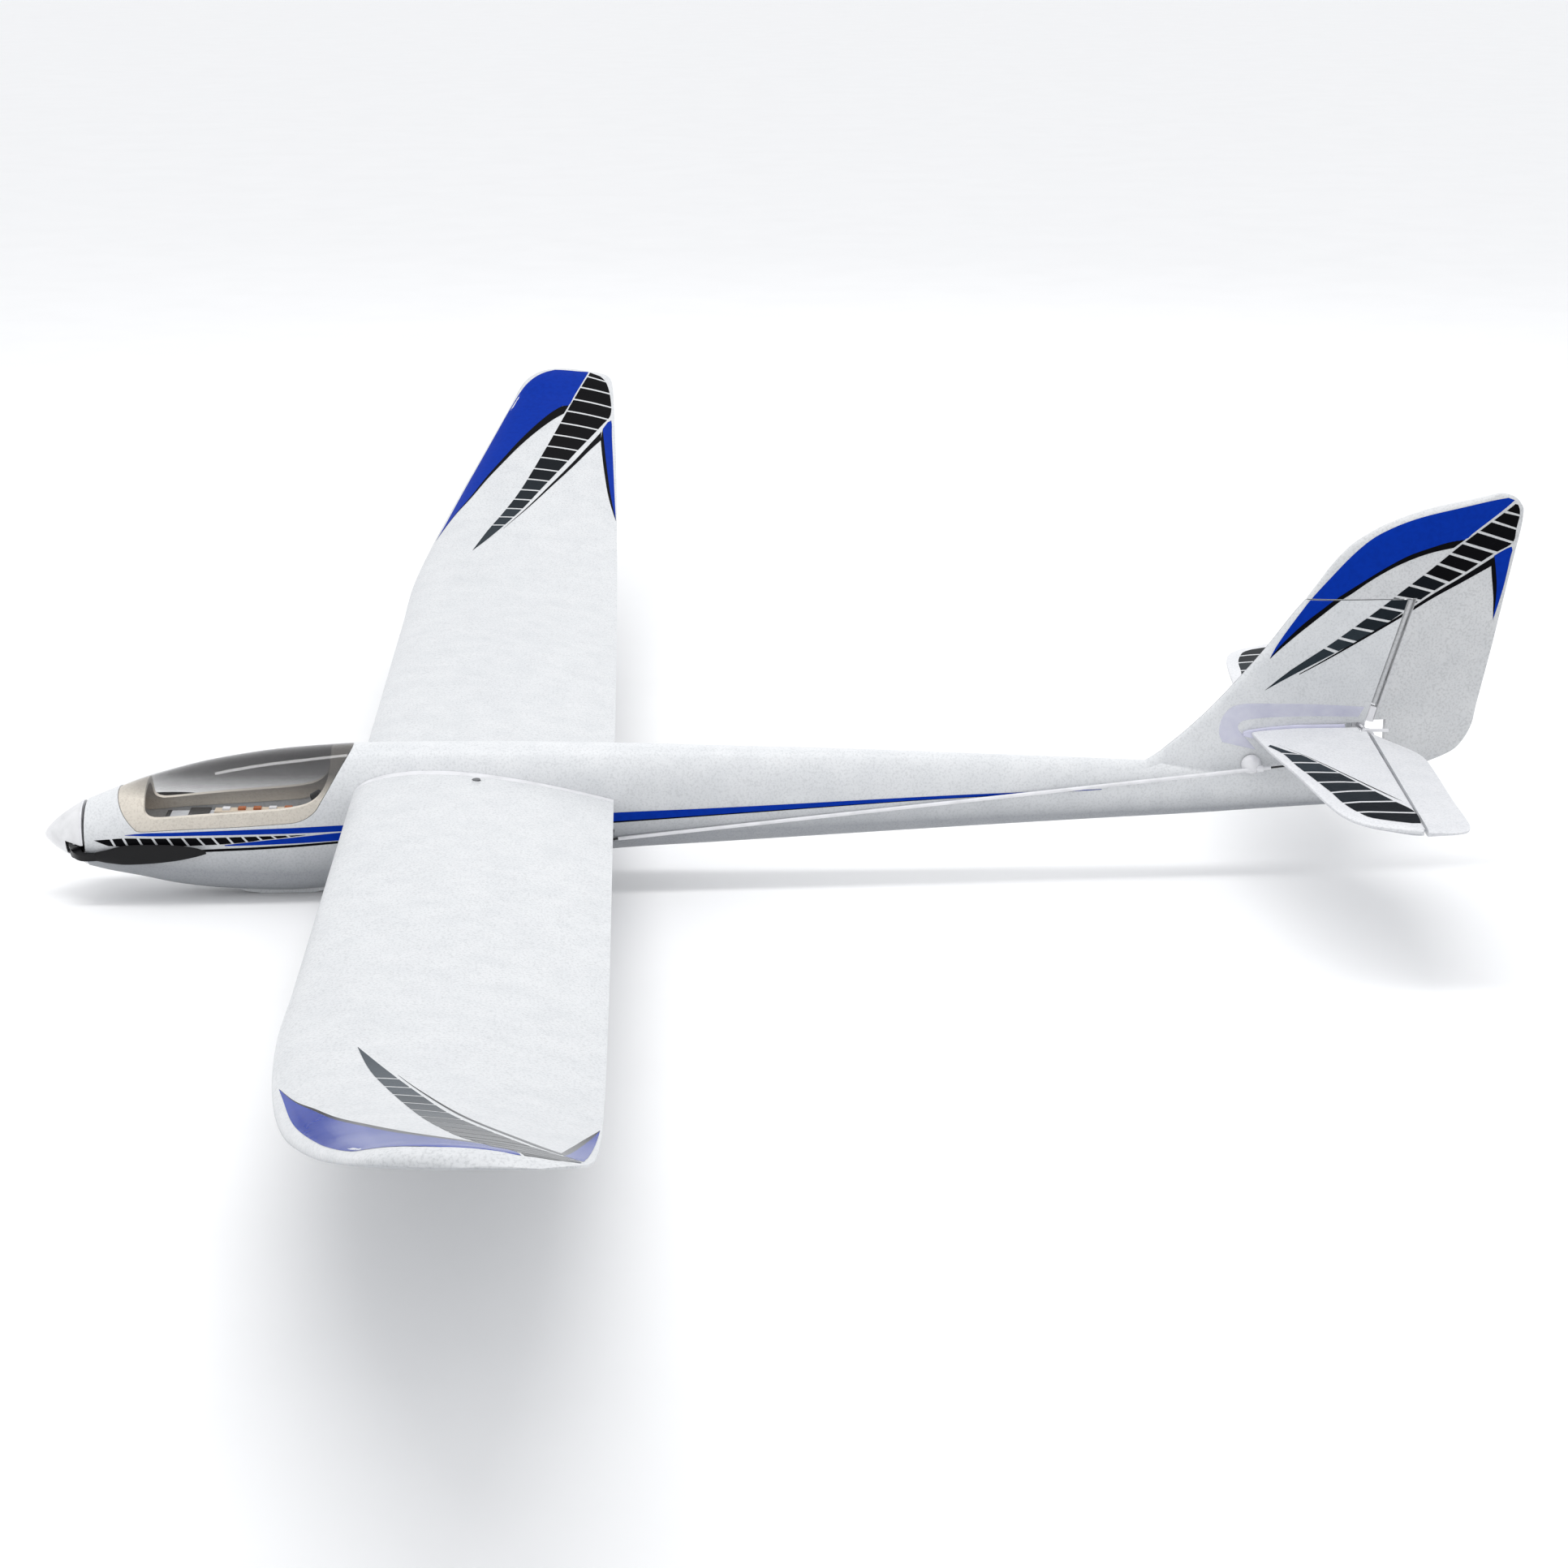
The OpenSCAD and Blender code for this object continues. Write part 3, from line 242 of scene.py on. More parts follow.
def body_point(x, ang, inset=0.0):
    """Point on the pod or boom, ang in degrees from the starboard side upward."""
    top, bottom = curve(BODY, x, 1) - inset, curve(BODY, x, 2) + inset
    half = max(curve(BODY, x, 3) - inset, 0.2)
    c, s = math.cos(math.radians(ang)), math.sin(math.radians(ang))
    return (x, half * signed_power(c, 2 / BODY_POWER),
            (top + bottom) / 2 + (top - bottom) / 2 * signed_power(s, 2 / BODY_POWER))


def body_y(x, z):
    """Half width of the pod or boom at height z."""
    top, bottom = curve(BODY, x, 1), curve(BODY, x, 2)
    u = abs(2 * z - top - bottom) / (top - bottom)
    return curve(BODY, x, 3) * max(0.0, 1 - u**BODY_POWER) ** (1 / BODY_POWER)


def foil_half(t):
    """Half thickness of a symmetrical section at a share t of the chord, 1 at its fullest."""
    t = min(max(t, 0.0), 1.0)
    return max(0.0, 10 * (0.2969 * math.sqrt(t) - 0.126 * t - 0.3516 * t * t
                          + 0.2843 * t**3 - 0.1015 * t**4))


def fin_root(z):
    """How much thicker than above the fin is near its root."""
    return 1 + 0.5 * (max(0, 130 - z) / 60) ** 2


def fin_y(x, z, table=FIN):
    """Half thickness of the fin."""
    le, te = curve(table, z, 1), curve(table, z, 2)
    return FIN_HALF * fin_root(z) * foil_half((x - le) / (te - le)) + 0.4


def wing_section(y):
    y = max(y, 27)
    le, te, z0 = (curve(WING, y, c) for c in (1, 2, 3))
    return le, te, z0


def wing_point(t, y, upper=True, flatten=1.0):
    """Point of the starboard wing at a fraction t of the chord."""
    le, te, z0 = wing_section(y)
    c = te - le
    bow = math.sqrt(max(t, 0)) * (1 - t) / 0.3849
    h = (CAMBER_UP if upper else -CAMBER_DOWN) * bow * c
    h += EDGE / 2 if upper else -EDGE / 2
    return (le + t * c, y, z0 + INCIDENCE * (1 - t) * c + h * flatten)


def stab_half_t(y):
    return STAB_THICK / 2 - 1.7 * y / STAB_HALF


# ---- Mesh building ---------------------------------------------------------

def to_row(p):
    return ((p[0] - LENGTH / 2) * MM, p[1] * MM, p[2] * MM)


def mesh_object(name, points, faces):
    mesh = bpy.data.meshes.new(name)
    mesh.from_pydata([to_row(p) for p in points], [], faces)
    obj = bpy.data.objects.new(name, mesh)
    bpy.context.scene.collection.objects.link(obj)
    tidy(obj)
    return obj


def tidy(obj):
    """Faces outward, smooth shading, and sharp edges where the surface turns."""
    bm = bmesh.new()
    bm.from_mesh(obj.data)
    bmesh.ops.remove_doubles(bm, verts=bm.verts, dist=1e-6)
    bmesh.ops.dissolve_degenerate(bm, edges=bm.edges, dist=1e-7)
    bmesh.ops.recalc_face_normals(bm, faces=bm.faces)
    bm.to_mesh(obj.data)
    bm.free()
    obj.data.shade_smooth()
    obj.data.set_sharp_from_angle(angle=CREASE)


def loft(rings):
    """Points and faces of a closed skin through rings of equal length."""
    n, m = len(rings[0]), len(rings)
    points = [p for r in rings for p in r]
    faces = [(j * n + i, j * n + (i + 1) % n, (j + 1) * n + (i + 1) % n, (j + 1) * n + i)
             for j in range(m - 1) for i in range(n)]
    faces += [tuple(range(n)), tuple((m - 1) * n + i for i in range(n))]
    return points, faces


def loft_object(name, rings, side=1):
    return mesh_object(name, *loft([mirrored(r, side) for r in rings]))


def mirrored(points, side):
    return [(p[0], side * p[1], p[2]) for p in points]


def prism(name, outline, half=60):
    """Slab across the body with a side outline of (x, z) points."""
    n = len(outline)
    points = [(x, -half, z) for x, z in outline] + [(x, half, z) for x, z in outline]
    faces = [tuple(range(n)), tuple(range(2 * n - 1, n - 1, -1))]
    faces += [(i, (i + 1) % n, n + (i + 1) % n, n + i) for i in range(n)]
    return mesh_object(name, points, faces)


def box(name, lo, hi):
    points = [(x, y, z) for x in (lo[0], hi[0]) for y in (lo[1], hi[1]) for z in (lo[2], hi[2])]
    faces = [(0, 1, 3, 2), (4, 6, 7, 5), (0, 4, 5, 1), (2, 3, 7, 6), (0, 2, 6, 4), (1, 5, 7, 3)]
    return mesh_object(name, points, faces)


def cut(obj, tools, operation="DIFFERENCE"):
    """Boolean of obj with each tool in turn; the tools are removed."""
    for tool in tools:
        mod = obj.modifiers.new("cut", "BOOLEAN")
        mod.operation, mod.solver, mod.object = operation, "EXACT", tool
        bpy.context.view_layer.update()
        made = bpy.data.meshes.new_from_object(
            obj.evaluated_get(bpy.context.evaluated_depsgraph_get()))
        obj.modifiers.clear()
        old, obj.data = obj.data, made
        bpy.data.meshes.remove(old)
        bpy.data.objects.remove(tool)
    tidy(obj)
    return obj


def soften(obj, width=0.4, segments=2, angle=40):
    """Small rounded edges, as moulded foam and plastic have."""
    mod = obj.modifiers.new("soft_edges", "BEVEL")
    mod.width, mod.segments, mod.limit_method = width * MM, segments, "ANGLE"
    mod.angle_limit = math.radians(angle)
    mod.harden_normals = True
    return obj


def placed(obj, body, finish, replaced=()):
    """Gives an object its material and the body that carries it."""
    obj.data.materials.append(M[finish])
    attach(obj, body)
    if replaced:
        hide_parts(*replaced)
    return obj


def swung(obj, angle, axis, place=(0, 0, 0)):
    """Turns an object about the datum, then moves what was there to a place."""
    home = Matrix.Translation(-Vector(to_row((0, 0, 0))))
    there = Matrix.Translation(Vector(to_row(place)))
    obj.data.transform(there @ Matrix.Rotation(angle, 4, axis) @ home)
    return obj


def on_thrust(obj):
    """Moves an object drawn round the shaft, +X aft, onto the thrust line."""
    return swung(obj, -THRUST_DOWN, "Y", (0, 0, NOSE_Z))


# ---- Materials -------------------------------------------------------------

def new_material(name):
    """A new material, its node tree and its shader."""
    material = bpy.data.materials.new(name)
    material.use_nodes = True
    return material, material.node_tree, material.node_tree.nodes["Principled BSDF"]


def settings(node, **values):
    """Sets constants on a node's own sockets; an underscore stands for a space."""
    for socket, value in values.items():
        node.inputs[socket.replace("_", " ")].default_value = value
    return node


def add(tree, kind, **values):
    return settings(tree.nodes.new("ShaderNode" + kind), **values)


def on_object(tree, texture):
    """Lays a texture out in the object's own coordinates."""
    tree.links.new(add(tree, "TexCoord").outputs["Object"], texture.inputs["Vector"])
    return texture


def noise(tree, scale, detail):
    texture = add(tree, "TexNoise", Scale=scale, Detail=detail, Roughness=0.55)
    return on_object(tree, texture).outputs["Fac"]


def ramp(tree, source, *stops):
    """Colour blended between (place, colour) stops."""
    node = add(tree, "ValToRGB")
    elements = node.color_ramp.elements
    while len(elements) < len(stops):
        elements.new(0.5)
    for element, (place, color) in zip(elements, stops):
        element.position = place
        element.color = (*color, 1)
    tree.links.new(source, node.inputs["Fac"])
    return node.outputs["Color"]


def bump(tree, height, strength, distance, base=None):
    node = add(tree, "Bump", Strength=strength, Distance=distance)
    tree.links.new(height, node.inputs["Height"])
    if base:
        tree.links.new(base, node.inputs["Normal"])
    return node.outputs["Normal"]


def multiply(tree, a, b):
    node = tree.nodes.new("ShaderNodeMix")
    node.data_type, node.blend_type = "RGBA", "MULTIPLY"
    settings(node, Factor=1)
    tree.links.new(a, node.inputs["A"])
    tree.links.new(b, node.inputs["B"])
    return node.outputs["Result"]


def rise(tree, vector, low, high):
    """0 where the Z of a vector is at low, and 1 where it is at high."""
    split = add(tree, "SeparateXYZ")
    span = add(tree, "MapRange", From_Min=low, From_Max=high)
    tree.links.new(vector, split.inputs["Vector"])
    tree.links.new(split.outputs["Z"], span.inputs["Value"])
    return span.outputs["Result"]


def down_shade(tree, shade):
    """White on faces that look up, a little grey on upright ones, and shade underneath."""
    facing = rise(tree, add(tree, "NewGeometry").outputs["Normal"], -0.4, 0.5)
    return ramp(tree, facing, (0, shade), (0.45, (0.88, 0.885, 0.89)), (1, (1, 1, 1)))


def worn(tree, shader, color, scale, start, dull):
    """Base colour with clouds of slight wear, where it is darker."""
    low = tuple(c * dull for c in color)
    tone = ramp(tree, noise(tree, scale, 5), (start, low), (0.6, color))
    tree.links.new(tone, shader.inputs["Base Color"])


def foam(name, light, dark, bead=480, rough=0.42, painted_shade_below=(0.62, 0.63, 0.65)):
    """Moulded bead foam: fine cells, a few dimples and a slight speckle, with painted shade that
    greys upright faces a little and faces that look down more.
    """
    material, tree, shader = new_material(name)
    speckle = ramp(tree, noise(tree, 620, 3), (0.36, dark), (0.52, light))
    cloud = ramp(tree, noise(tree, 45, 5), (0.3, (0.93, 0.935, 0.94)), (0.62, (1, 1, 1)))
    # painted shade: the colour is multiplied down where the surface faces sideways and down
    color = multiply(tree, multiply(tree, speckle, cloud), down_shade(tree, painted_shade_below))
    tree.links.new(color, shader.inputs["Base Color"])
    settings(shader, Roughness=rough, Specular_IOR_Level=0.42, Subsurface_Weight=0.04,
             Subsurface_Radius=(0.004, 0.004, 0.004))
    cells = on_object(tree, add(tree, "TexVoronoi", Scale=bead)).outputs["Distance"]
    beads = bump(tree, cells, 0.35, 0.00022)
    tree.links.new(bump(tree, noise(tree, 160, 4), 0.16, 0.0006, beads), shader.inputs["Normal"])
    return material


def sticker(name, color, rough=0.34, gloss=0.16, index=1.2):
    """Vinyl film, a little uneven and slightly worn."""
    material, tree, shader = new_material(name)
    worn(tree, shader, color, 240, 0.35, 0.88)
    settings(shader, Roughness=rough, Specular_IOR_Level=gloss, IOR=index)
    tree.links.new(bump(tree, noise(tree, 38, 3), 0.08, 0.0015), shader.inputs["Normal"])
    return material


def plastic(name, color, rough=0.3, grain=420, coat=0.0, metallic=0.0, depth=0.00008,
            gloss=0.5):
    """Moulded plastic or metal with a fine grain and slight wear."""
    material, tree, shader = new_material(name)
    worn(tree, shader, color, 70, 0.32, 0.86)
    settings(shader, Roughness=rough, Metallic=metallic, Specular_IOR_Level=gloss,
             Coat_Weight=coat, Coat_Roughness=0.08)
    tree.links.new(bump(tree, noise(tree, grain, 4), 0.25, depth), shader.inputs["Normal"])
    return material


def woven(name, color, scale=900):
    """Carbon cloth or webbing: two crossed bands of thread."""
    material, tree, shader = new_material(name)
    check = on_object(tree, add(tree, "TexChecker", Scale=scale, Color1=(*color, 1),
                                Color2=(*(c * 0.45 for c in color), 1)))
    tree.links.new(check.outputs["Color"], shader.inputs["Base Color"])
    settings(shader, Roughness=0.34, Coat_Weight=0.3)
    tree.links.new(bump(tree, check.outputs["Fac"], 0.2, 0.0001), shader.inputs["Normal"])
    return material


def smoke_plastic():
    """Thin clear canopy plastic with a smoke tint; painted shade makes it more opaque towards the
    top, standing in for the darker look of the slanted upper glazing.
    """
    material, tree, shader = new_material("smoke_plastic")
    # Painted shade: opacity that rises with height darkens the upper glazing.
    height = rise(tree, add(tree, "TexCoord").outputs["Object"], 0.084, 0.102)
    tree.links.new(ramp(tree, height, (0, (0.05,) * 3), (1, (0.7,) * 3)), shader.inputs["Alpha"])
    tint = ramp(tree, noise(tree, 60, 5), (0.3, (0.022, 0.021, 0.022)),
                (0.65, (0.034, 0.032, 0.033)))
    tree.links.new(tint, shader.inputs["Base Color"])
    settings(shader, Roughness=0.04, IOR=1.5, Coat_Weight=0.6, Coat_Roughness=0.02)
    return material


def film_plastic():
    """Clear protective film with a pale lilac cast."""
    material, tree, shader = new_material("clear_film")
    wave = noise(tree, 90, 4)
    tint = ramp(tree, wave, (0.3, (0.62, 0.62, 0.8)), (0.7, (0.74, 0.74, 0.88)))
    tree.links.new(tint, shader.inputs["Base Color"])
    settings(shader, Alpha=0.5, Roughness=0.12)
    tree.links.new(bump(tree, wave, 0.1, 0.001), shader.inputs["Normal"])
    return material


M = {
    # The last colour of each foam is the painted shade on faces that look down; the body's is the
    # darkest.
    "foam": foam("foam_white", (0.67, 0.68, 0.69), (0.56, 0.57, 0.58)),
    "body_foam": foam("foam_body", (0.73, 0.74, 0.75), (0.64, 0.65, 0.66), painted_shade_below=(0.43, 0.44, 0.46)),
    "fin_foam": foam("foam_fin", (0.68, 0.685, 0.69), (0.57, 0.575, 0.58)),
    "tail_foam": foam("foam_tail", (0.74, 0.745, 0.76), (0.65, 0.655, 0.67)),
    "cream": foam("foam_cream", (0.76, 0.70, 0.61), (0.66, 0.60, 0.52), bead=380, rough=0.6),
    "blue": sticker("film_blue", (0.002, 0.03, 0.33), gloss=0.1),
    "black": sticker("film_black", (0.004, 0.004, 0.005), gloss=0.08),
    "slate": sticker("film_slate", (0.026, 0.035, 0.043), gloss=0.1),
    "slate_2": sticker("film_slate_2", (0.014, 0.019, 0.024), gloss=0.1),
    "slate_3": sticker("film_slate_3", (0.007, 0.009, 0.012), gloss=0.1),
    "film": film_plastic(),
    "gloss_white": plastic("spinner_white", (0.74, 0.74, 0.75), 0.12, coat=0.5, depth=0.00003),
    "white": plastic("plastic_white", (0.76, 0.76, 0.78), 0.32),
    "lavender": plastic("plastic_lavender", (0.60, 0.60, 0.74), 0.3),
    "black_plastic": plastic("plastic_black", (0.014, 0.014, 0.015), 0.36),
    "blade": plastic("blade_black", (0.005, 0.005, 0.006), 0.34, grain=700, gloss=0.2),
    "metal": plastic("metal", (0.62, 0.62, 0.64), 0.28, metallic=1.0),
    "dark_metal": plastic("metal_dark", (0.16, 0.16, 0.17), 0.35, metallic=0.9),
    "wood": plastic("plywood", (0.5, 0.36, 0.2), 0.6, grain=120),
    "carbon": woven("carbon", (0.045, 0.045, 0.05)),
    "webbing": woven("webbing", (0.02, 0.02, 0.022), 700),
    "servo_blue": plastic("servo_blue", (0.02, 0.035, 0.14), 0.2, coat=0.4),
    "wrap": plastic("battery_wrap", (0.6, 0.61, 0.64), 0.22, coat=0.4),
    "circuit": plastic("circuit_cream", (0.66, 0.56, 0.44), 0.35),
    "part_red": plastic("circuit_part", (0.42, 0.12, 0.035), 0.35),
    "orange": plastic("orange_plastic", (0.85, 0.13, 0.03), 0.4),
    "smoke": smoke_plastic(),
}
# The film on the port wing tip is shinier, and its copies take lighter colours that paint the sheen
# of glare on that tip.
for shade, color in (("blue", (0.005, 0.035, 0.33)), ("black", (0.012, 0.012, 0.014)),
                     ("slate", (0.04, 0.055, 0.07)), ("slate_2", (0.026, 0.037, 0.048)),
                     ("slate_3", (0.018, 0.024, 0.031))):
    M[shade + "_gloss"] = sticker("film_%s_gloss" % shade, color, 0.15, 0.25, 1.18)


# ---- Normals and stickers --------------------------------------------------

def search_tree(mesh):
    """A tree for finding places on a mesh, with the mesh's points and triangles."""
    mesh.calc_loop_triangles()
    points = [v.co.copy() for v in mesh.vertices]
    triangles = [tuple(t.vertices) for t in mesh.loop_triangles]
    return BVHTree.FromPolygons(points, triangles), points, triangles


def keep_normals(obj, source):
    """Gives obj the smooth normals of an uncut source surface where they coincide."""
    tree, points, triangles = search_tree(source.data)
    smooth = [v.normal.copy() for v in source.data.vertices]
    mesh = obj.data
    base = [Vector(n.vector) for n in mesh.corner_normals]
    out = []
    for face in mesh.polygons:
        for k in face.loop_indices:
            corner = mesh.vertices[mesh.loops[k].vertex_index].co
            place, _, index, gap = tree.find_nearest(corner)
            normal = base[k]
            if gap is not None and gap < SAME_SURFACE:
                triangle = triangles[index]
                weights = poly_3d_calc([points[v] for v in triangle], place)
                best = sum((smooth[v] * w for v, w in zip(triangle, weights)), Vector())
                if best.length > 0.5 and best.normalized().dot(face.normal) > SAME_WAY:
                    normal = best.normalized()
            out.append(normal)
    mesh.normals_split_custom_set(out)


def cut_smooth(obj, tools=(), within=()):
    """Keeps what is within some tools, cuts others away, and keeps the uncut normals."""
    whole = obj.copy()
    whole.data = obj.data.copy()
    if within:
        cut(obj, within, "INTERSECT")
    if tools:
        cut(obj, tools)
    keep_normals(obj, whole)
    bpy.data.objects.remove(whole)
    return obj


def by_length(points, n):
    """n + 1 points at even steps along a smooth curve."""
    run = smooth_run(points)
    marks = [0.0]
    for a, b in zip(run, run[1:]):
        marks.append(marks[-1] + math.dist(a, b))
    out = []
    for s in spread(0, marks[-1], n):
        i = 0
        while i < len(marks) - 2 and s > marks[i + 1]:
            i += 1
        u = (s - marks[i]) / max(marks[i + 1] - marks[i], 1e-9)
        out.append(tuple(p + (q - p) * u for p, q in zip(run[i], run[i + 1])))
    return out


def strip(edge_a, edge_b, across=4):
    """Rows of points between two edges that have equally many points."""
    return [[tuple(p + (q - p) * v for p, q in zip(a, b)) for v in spread(0, 1, across)]
            for a, b in zip(edge_a, edge_b)]


def band(edge_a, edge_b, along=24, across=4):
    return strip(by_length(edge_a, along), by_length(edge_b, along), across)


def rungs(edge_a, edge_b, marks, gap, axis=0, along=5, across=5):
    """Cells of a ladder between two edges, split at slanted (a, b) marks."""
    other = 1 - axis
    side_a = [(p[axis], p[other]) for p in smooth_run(edge_a)]
    side_b = [(p[axis], p[other]) for p in smooth_run(edge_b)]

    def at(side, s):
        pair = (s, line(side, s))
        return pair if axis == 0 else pair[::-1]

    out = []
    for (a0, b0), (a1, b1) in zip(marks, marks[1:]):
        g0 = 0 if (a0, b0) == marks[0] else gap / 2
        run_a = [at(side_a, s) for s in spread(a0 + g0, a1 - gap / 2, along)]
        run_b = [at(side_b, s) for s in spread(b0 + g0, b1 - gap / 2, along)]
        out.append(strip(run_a, run_b, across))
    return out


def sticker_mesh(name, patches, surface, facing, material, body, clips=()):
    """Film on a surface: patches in (u, v), clipped by half planes, then laid on it."""
    facing = Vector(facing)
    bm = bmesh.new()
    for rows in patches:
        grid = [[bm.verts.new((u, v, 0)) for u, v in row] for row in rows]
        for r0, r1 in zip(grid, grid[1:]):
            for a, b, c, d in zip(r0, r0[1:], r1[1:], r1):
                bm.faces.new((a, b, c, d))
    bmesh.ops.remove_doubles(bm, verts=bm.verts, dist=1e-5)
    bmesh.ops.dissolve_degenerate(bm, edges=bm.edges, dist=1e-4)
    for (pu, pv), (nu, nv) in clips:
        bmesh.ops.bisect_plane(bm, geom=bm.verts[:] + bm.edges[:] + bm.faces[:],
                               plane_co=(pu, pv, 0), plane_no=(nu, nv, 0), clear_outer=True)
    if not bm.faces:
        bm.free()
        return
    normals = []
    for vert in bm.verts:
        u, v, _ = vert.co
        step = STEP if abs(u) > 2 else CHORD_STEP
        here = Vector(surface(u, v))
        side_u = Vector(surface(u + step, v)) - Vector(surface(u - step, v))
        side_v = Vector(surface(u, v + STEP)) - Vector(surface(u, v - STEP))
        normal = side_u.cross(side_v)
        normal = normal.normalized() if normal.length > 1e-9 else facing.copy()
        if normal.dot(facing) < 0:
            normal.negate()
        normals.append(normal)
        vert.co = to_row(here + normal * STICKER_LIFT)
    mesh = bpy.data.meshes.new(name)
    bm.normal_update()
    for face in bm.faces:
        if face.normal.dot(facing) < 0:
            face.normal_flip()
    bm.to_mesh(mesh)
    bm.free()
    obj = bpy.data.objects.new(name, mesh)
    bpy.context.scene.collection.objects.link(obj)
    mesh.shade_smooth()
    mesh.normals_split_custom_set_from_vertices(normals)
    mesh.materials.append(material)
    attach(obj, body)


# ---- Fuselage --------------------------------------------------------------

TOP_POINTS, SIDE_POINTS = 22, 38


def lean_at(s):
    return HINGE_LEAN * max(0, s - FIN_FROM) / (TAIL_END - FIN_FROM)


def leaned(s, z):
    return s + lean_at(s) * (z - TAIL_FOOT)


def fin_station(z):
    c = HINGE_LEAN * (z - TAIL_FOOT) / (TAIL_END - FIN_FROM)
    return (curve(FIN, z, 1) + FIN_FROM * c) / (1 + c)


def inner_arc(x):
    n = TOP_POINTS + SIDE_POINTS
    if x > 900:
        top, bottom = curve(BODY, x, 1) - WALL, curve(BODY, x, 2) + WALL
        return [(x, 0, z) for z in spread(bottom, top, n)]
    return [body_point(x, a, WALL) for a in spread(-90, 90, n)]


def boom_ring(x):
    outer = [body_point(x, 90 - 40 * i / TOP_POINTS) for i in range(TOP_POINTS)]
    outer += [body_point(x, a) for a in spread(50, -90, SIDE_POINTS)]
    return outer + inner_arc(x)


def fin_ring(s, top):
    z_boom, b = curve(BODY, s, 1), curve(BODY, s, 3)
    h = min(fin_y(leaned(s, z_boom), z_boom), 0.9 * b)
    start = math.degrees(math.acos((h / b) ** (BODY_POWER / 2)))
    join = body_point(s, start)[2]
    ring = []
    for i in range(TOP_POINTS):
        z = top + (join - top) * i / TOP_POINTS
        x = leaned(s, z)
        side = fin_y(x, z)
        ring.append((x, side + (h - side) * (i / TOP_POINTS) ** 3, z))
    arc = [body_point(s, a) for a in spread(start, -90, SIDE_POINTS)] + inner_arc(s)
    return ring + [(leaned(s, p[2]), p[1], p[2]) for p in arc]


def body_rings():
    xs = spread(BODY[0][0], 264, 84) + spread(270, 440, 26) + spread(446, 858, 44)
    rings = [boom_ring(x) for x in xs]
    rings += [fin_ring(fin_station(z), z) for z in spread(104, FIN_TOP, 40)]
    return rings + [fin_ring(s, FIN_TOP) for s in spread(fin_station(FIN_TOP) + 3, TAIL_END, 10)]


def grown(outline, amount):
    """Outline of (x, z) points moved out along its own normals."""
    n = len(outline)
    area = sum(a[0] * b[1] - b[0] * a[1] for a, b in zip(outline, outline[1:] + outline[:1]))
    turn = 1 if area > 0 else -1
    out = []
    for i, p in enumerate(outline):
        a, b = outline[i - 1], outline[(i + 1) % n]
        d = Vector((b[0] - a[0], b[1] - a[1])).normalized()
        out.append((p[0] + turn * d.y * amount, p[1] - turn * d.x * amount))
    return out


def rod_point(x, side=1):
    """Point on the straight line of a pushrod tube."""
    (x0, y0, z0), (x1, y1, z1) = ROD_FORE, ROD_AFT
    u = (x - x0) / (x1 - x0)
    return (x, side * (y0 + (y1 - y0) * u), z0 + (z1 - z0) * u)


def bar(name, a, b, radius, segments=24):
    """Round bar between two points."""
    a, b = Vector(a), Vector(b)
    turn = (b - a).to_track_quat("Z", "Y")
    rings = [[tuple(end + turn @ Vector((radius * math.cos(t), radius * math.sin(t), 0)))
              for t in spread(0, 2 * math.pi, segments)[:-1]] for end in (a, b)]
    return loft_object(name, rings)


def wing_tube_hole(y0, y1):
    return bar("cut_tube", (TUBE_X, y0, TUBE_Z), (TUBE_X, y1, TUBE_Z), TUBE_HOLE)


def stab_tube_holes(y0, y1):
    return [bar("cut_tube", (x, y0, STAB_Z), (x, y1, STAB_Z), 2.05) for x in STAB_TUBES]


def joiner_room(rear, half):
    """Room for the elevator joiner through the tail."""
    return box("cut_joiner", (1015, -14, STAB_Z - half), (rear, 14, STAB_Z + half))


def hinge_cutters():
    """Slots for the rudder hinges and a socket for the hinge barrel, on the leaning line."""
    tools = [(z, box("slot", (-11, -0.8, -5.6), (11, 0.8, 5.6))) for z in RUDDER_HINGES]
    tools.append((BARREL_Z, bar("socket", (0, 0, -0.4), (0, 0, 12.4), 5.1)))
    return [swung(tool, math.atan(HINGE_LEAN), "Y", (hinge_x(z), 0, z)) for z, tool in tools]


def fuselage_cutters(side):
    return [
        prism("cut_canopy", grown(closed_top(CANOPY, 4), 0.4)),
        box("cut_bay", (344, -21.2, 53.2), (424, 21.2, 76)),
        joiner_room(1048, 7),
        *stab_tube_holes(-30, 30),
        wing_tube_hole(-60, 60),
        bar("cut_groove", rod_point(440, side), rod_point(961, side), 1.55),
        box("cut_rods", (352, side * 15.5, 42), (441, side * 22.2, 54)),
        box("cut_tab", (330, side * 14, 88.5), (344, side * 40, 92.1)),
    ] + hinge_cutters()


def fuselage():
    for side, word in SIDES:
        half = loft_object("fuselage_shell_" + word, body_rings(), side)
        cut_smooth(half, fuselage_cutters(side))
        placed(half, "airframe", "body_foam", ["fuselage_" + word])


# ---- Wing ------------------------------------------------------------------

def wing_ring(y, n=120, thin=0.0):
    flatten = math.sqrt(max(1 - thin * thin, 0.01)) if thin > 0 else 1.0
    ring = []
    for i in range(n):
        a = 2 * math.pi * (i + 0.5) / n
        ring.append(wing_point((1 + math.cos(a)) / 2, y, a < math.pi, flatten))
    return ring


def wing_rings():
    tips = [HALF_SPAN - 12 + 12 * math.sin(math.radians(a)) for a in spread(4, 90, 14)]
    ys = spread(WING_ROOT + 3.1, 450, 16) + spread(460, HALF_SPAN - 13, 72) + tips
    return [wing_ring(y, thin=max(0, (y - HALF_SPAN + 12) / 12) * 0.97) for y in ys]


def screw_hole(side, z0, z1, radius):
    at = side * SCREW_Y
    return bar("cut_screw", (SCREW_X, at, z0), (SCREW_X, at, z1), radius)


def light_slot(y0, y1):
    """Slot for a light strip along the wing."""
    return box("cut_light", (352, y0, 90.2), (360, y1, 93.4))


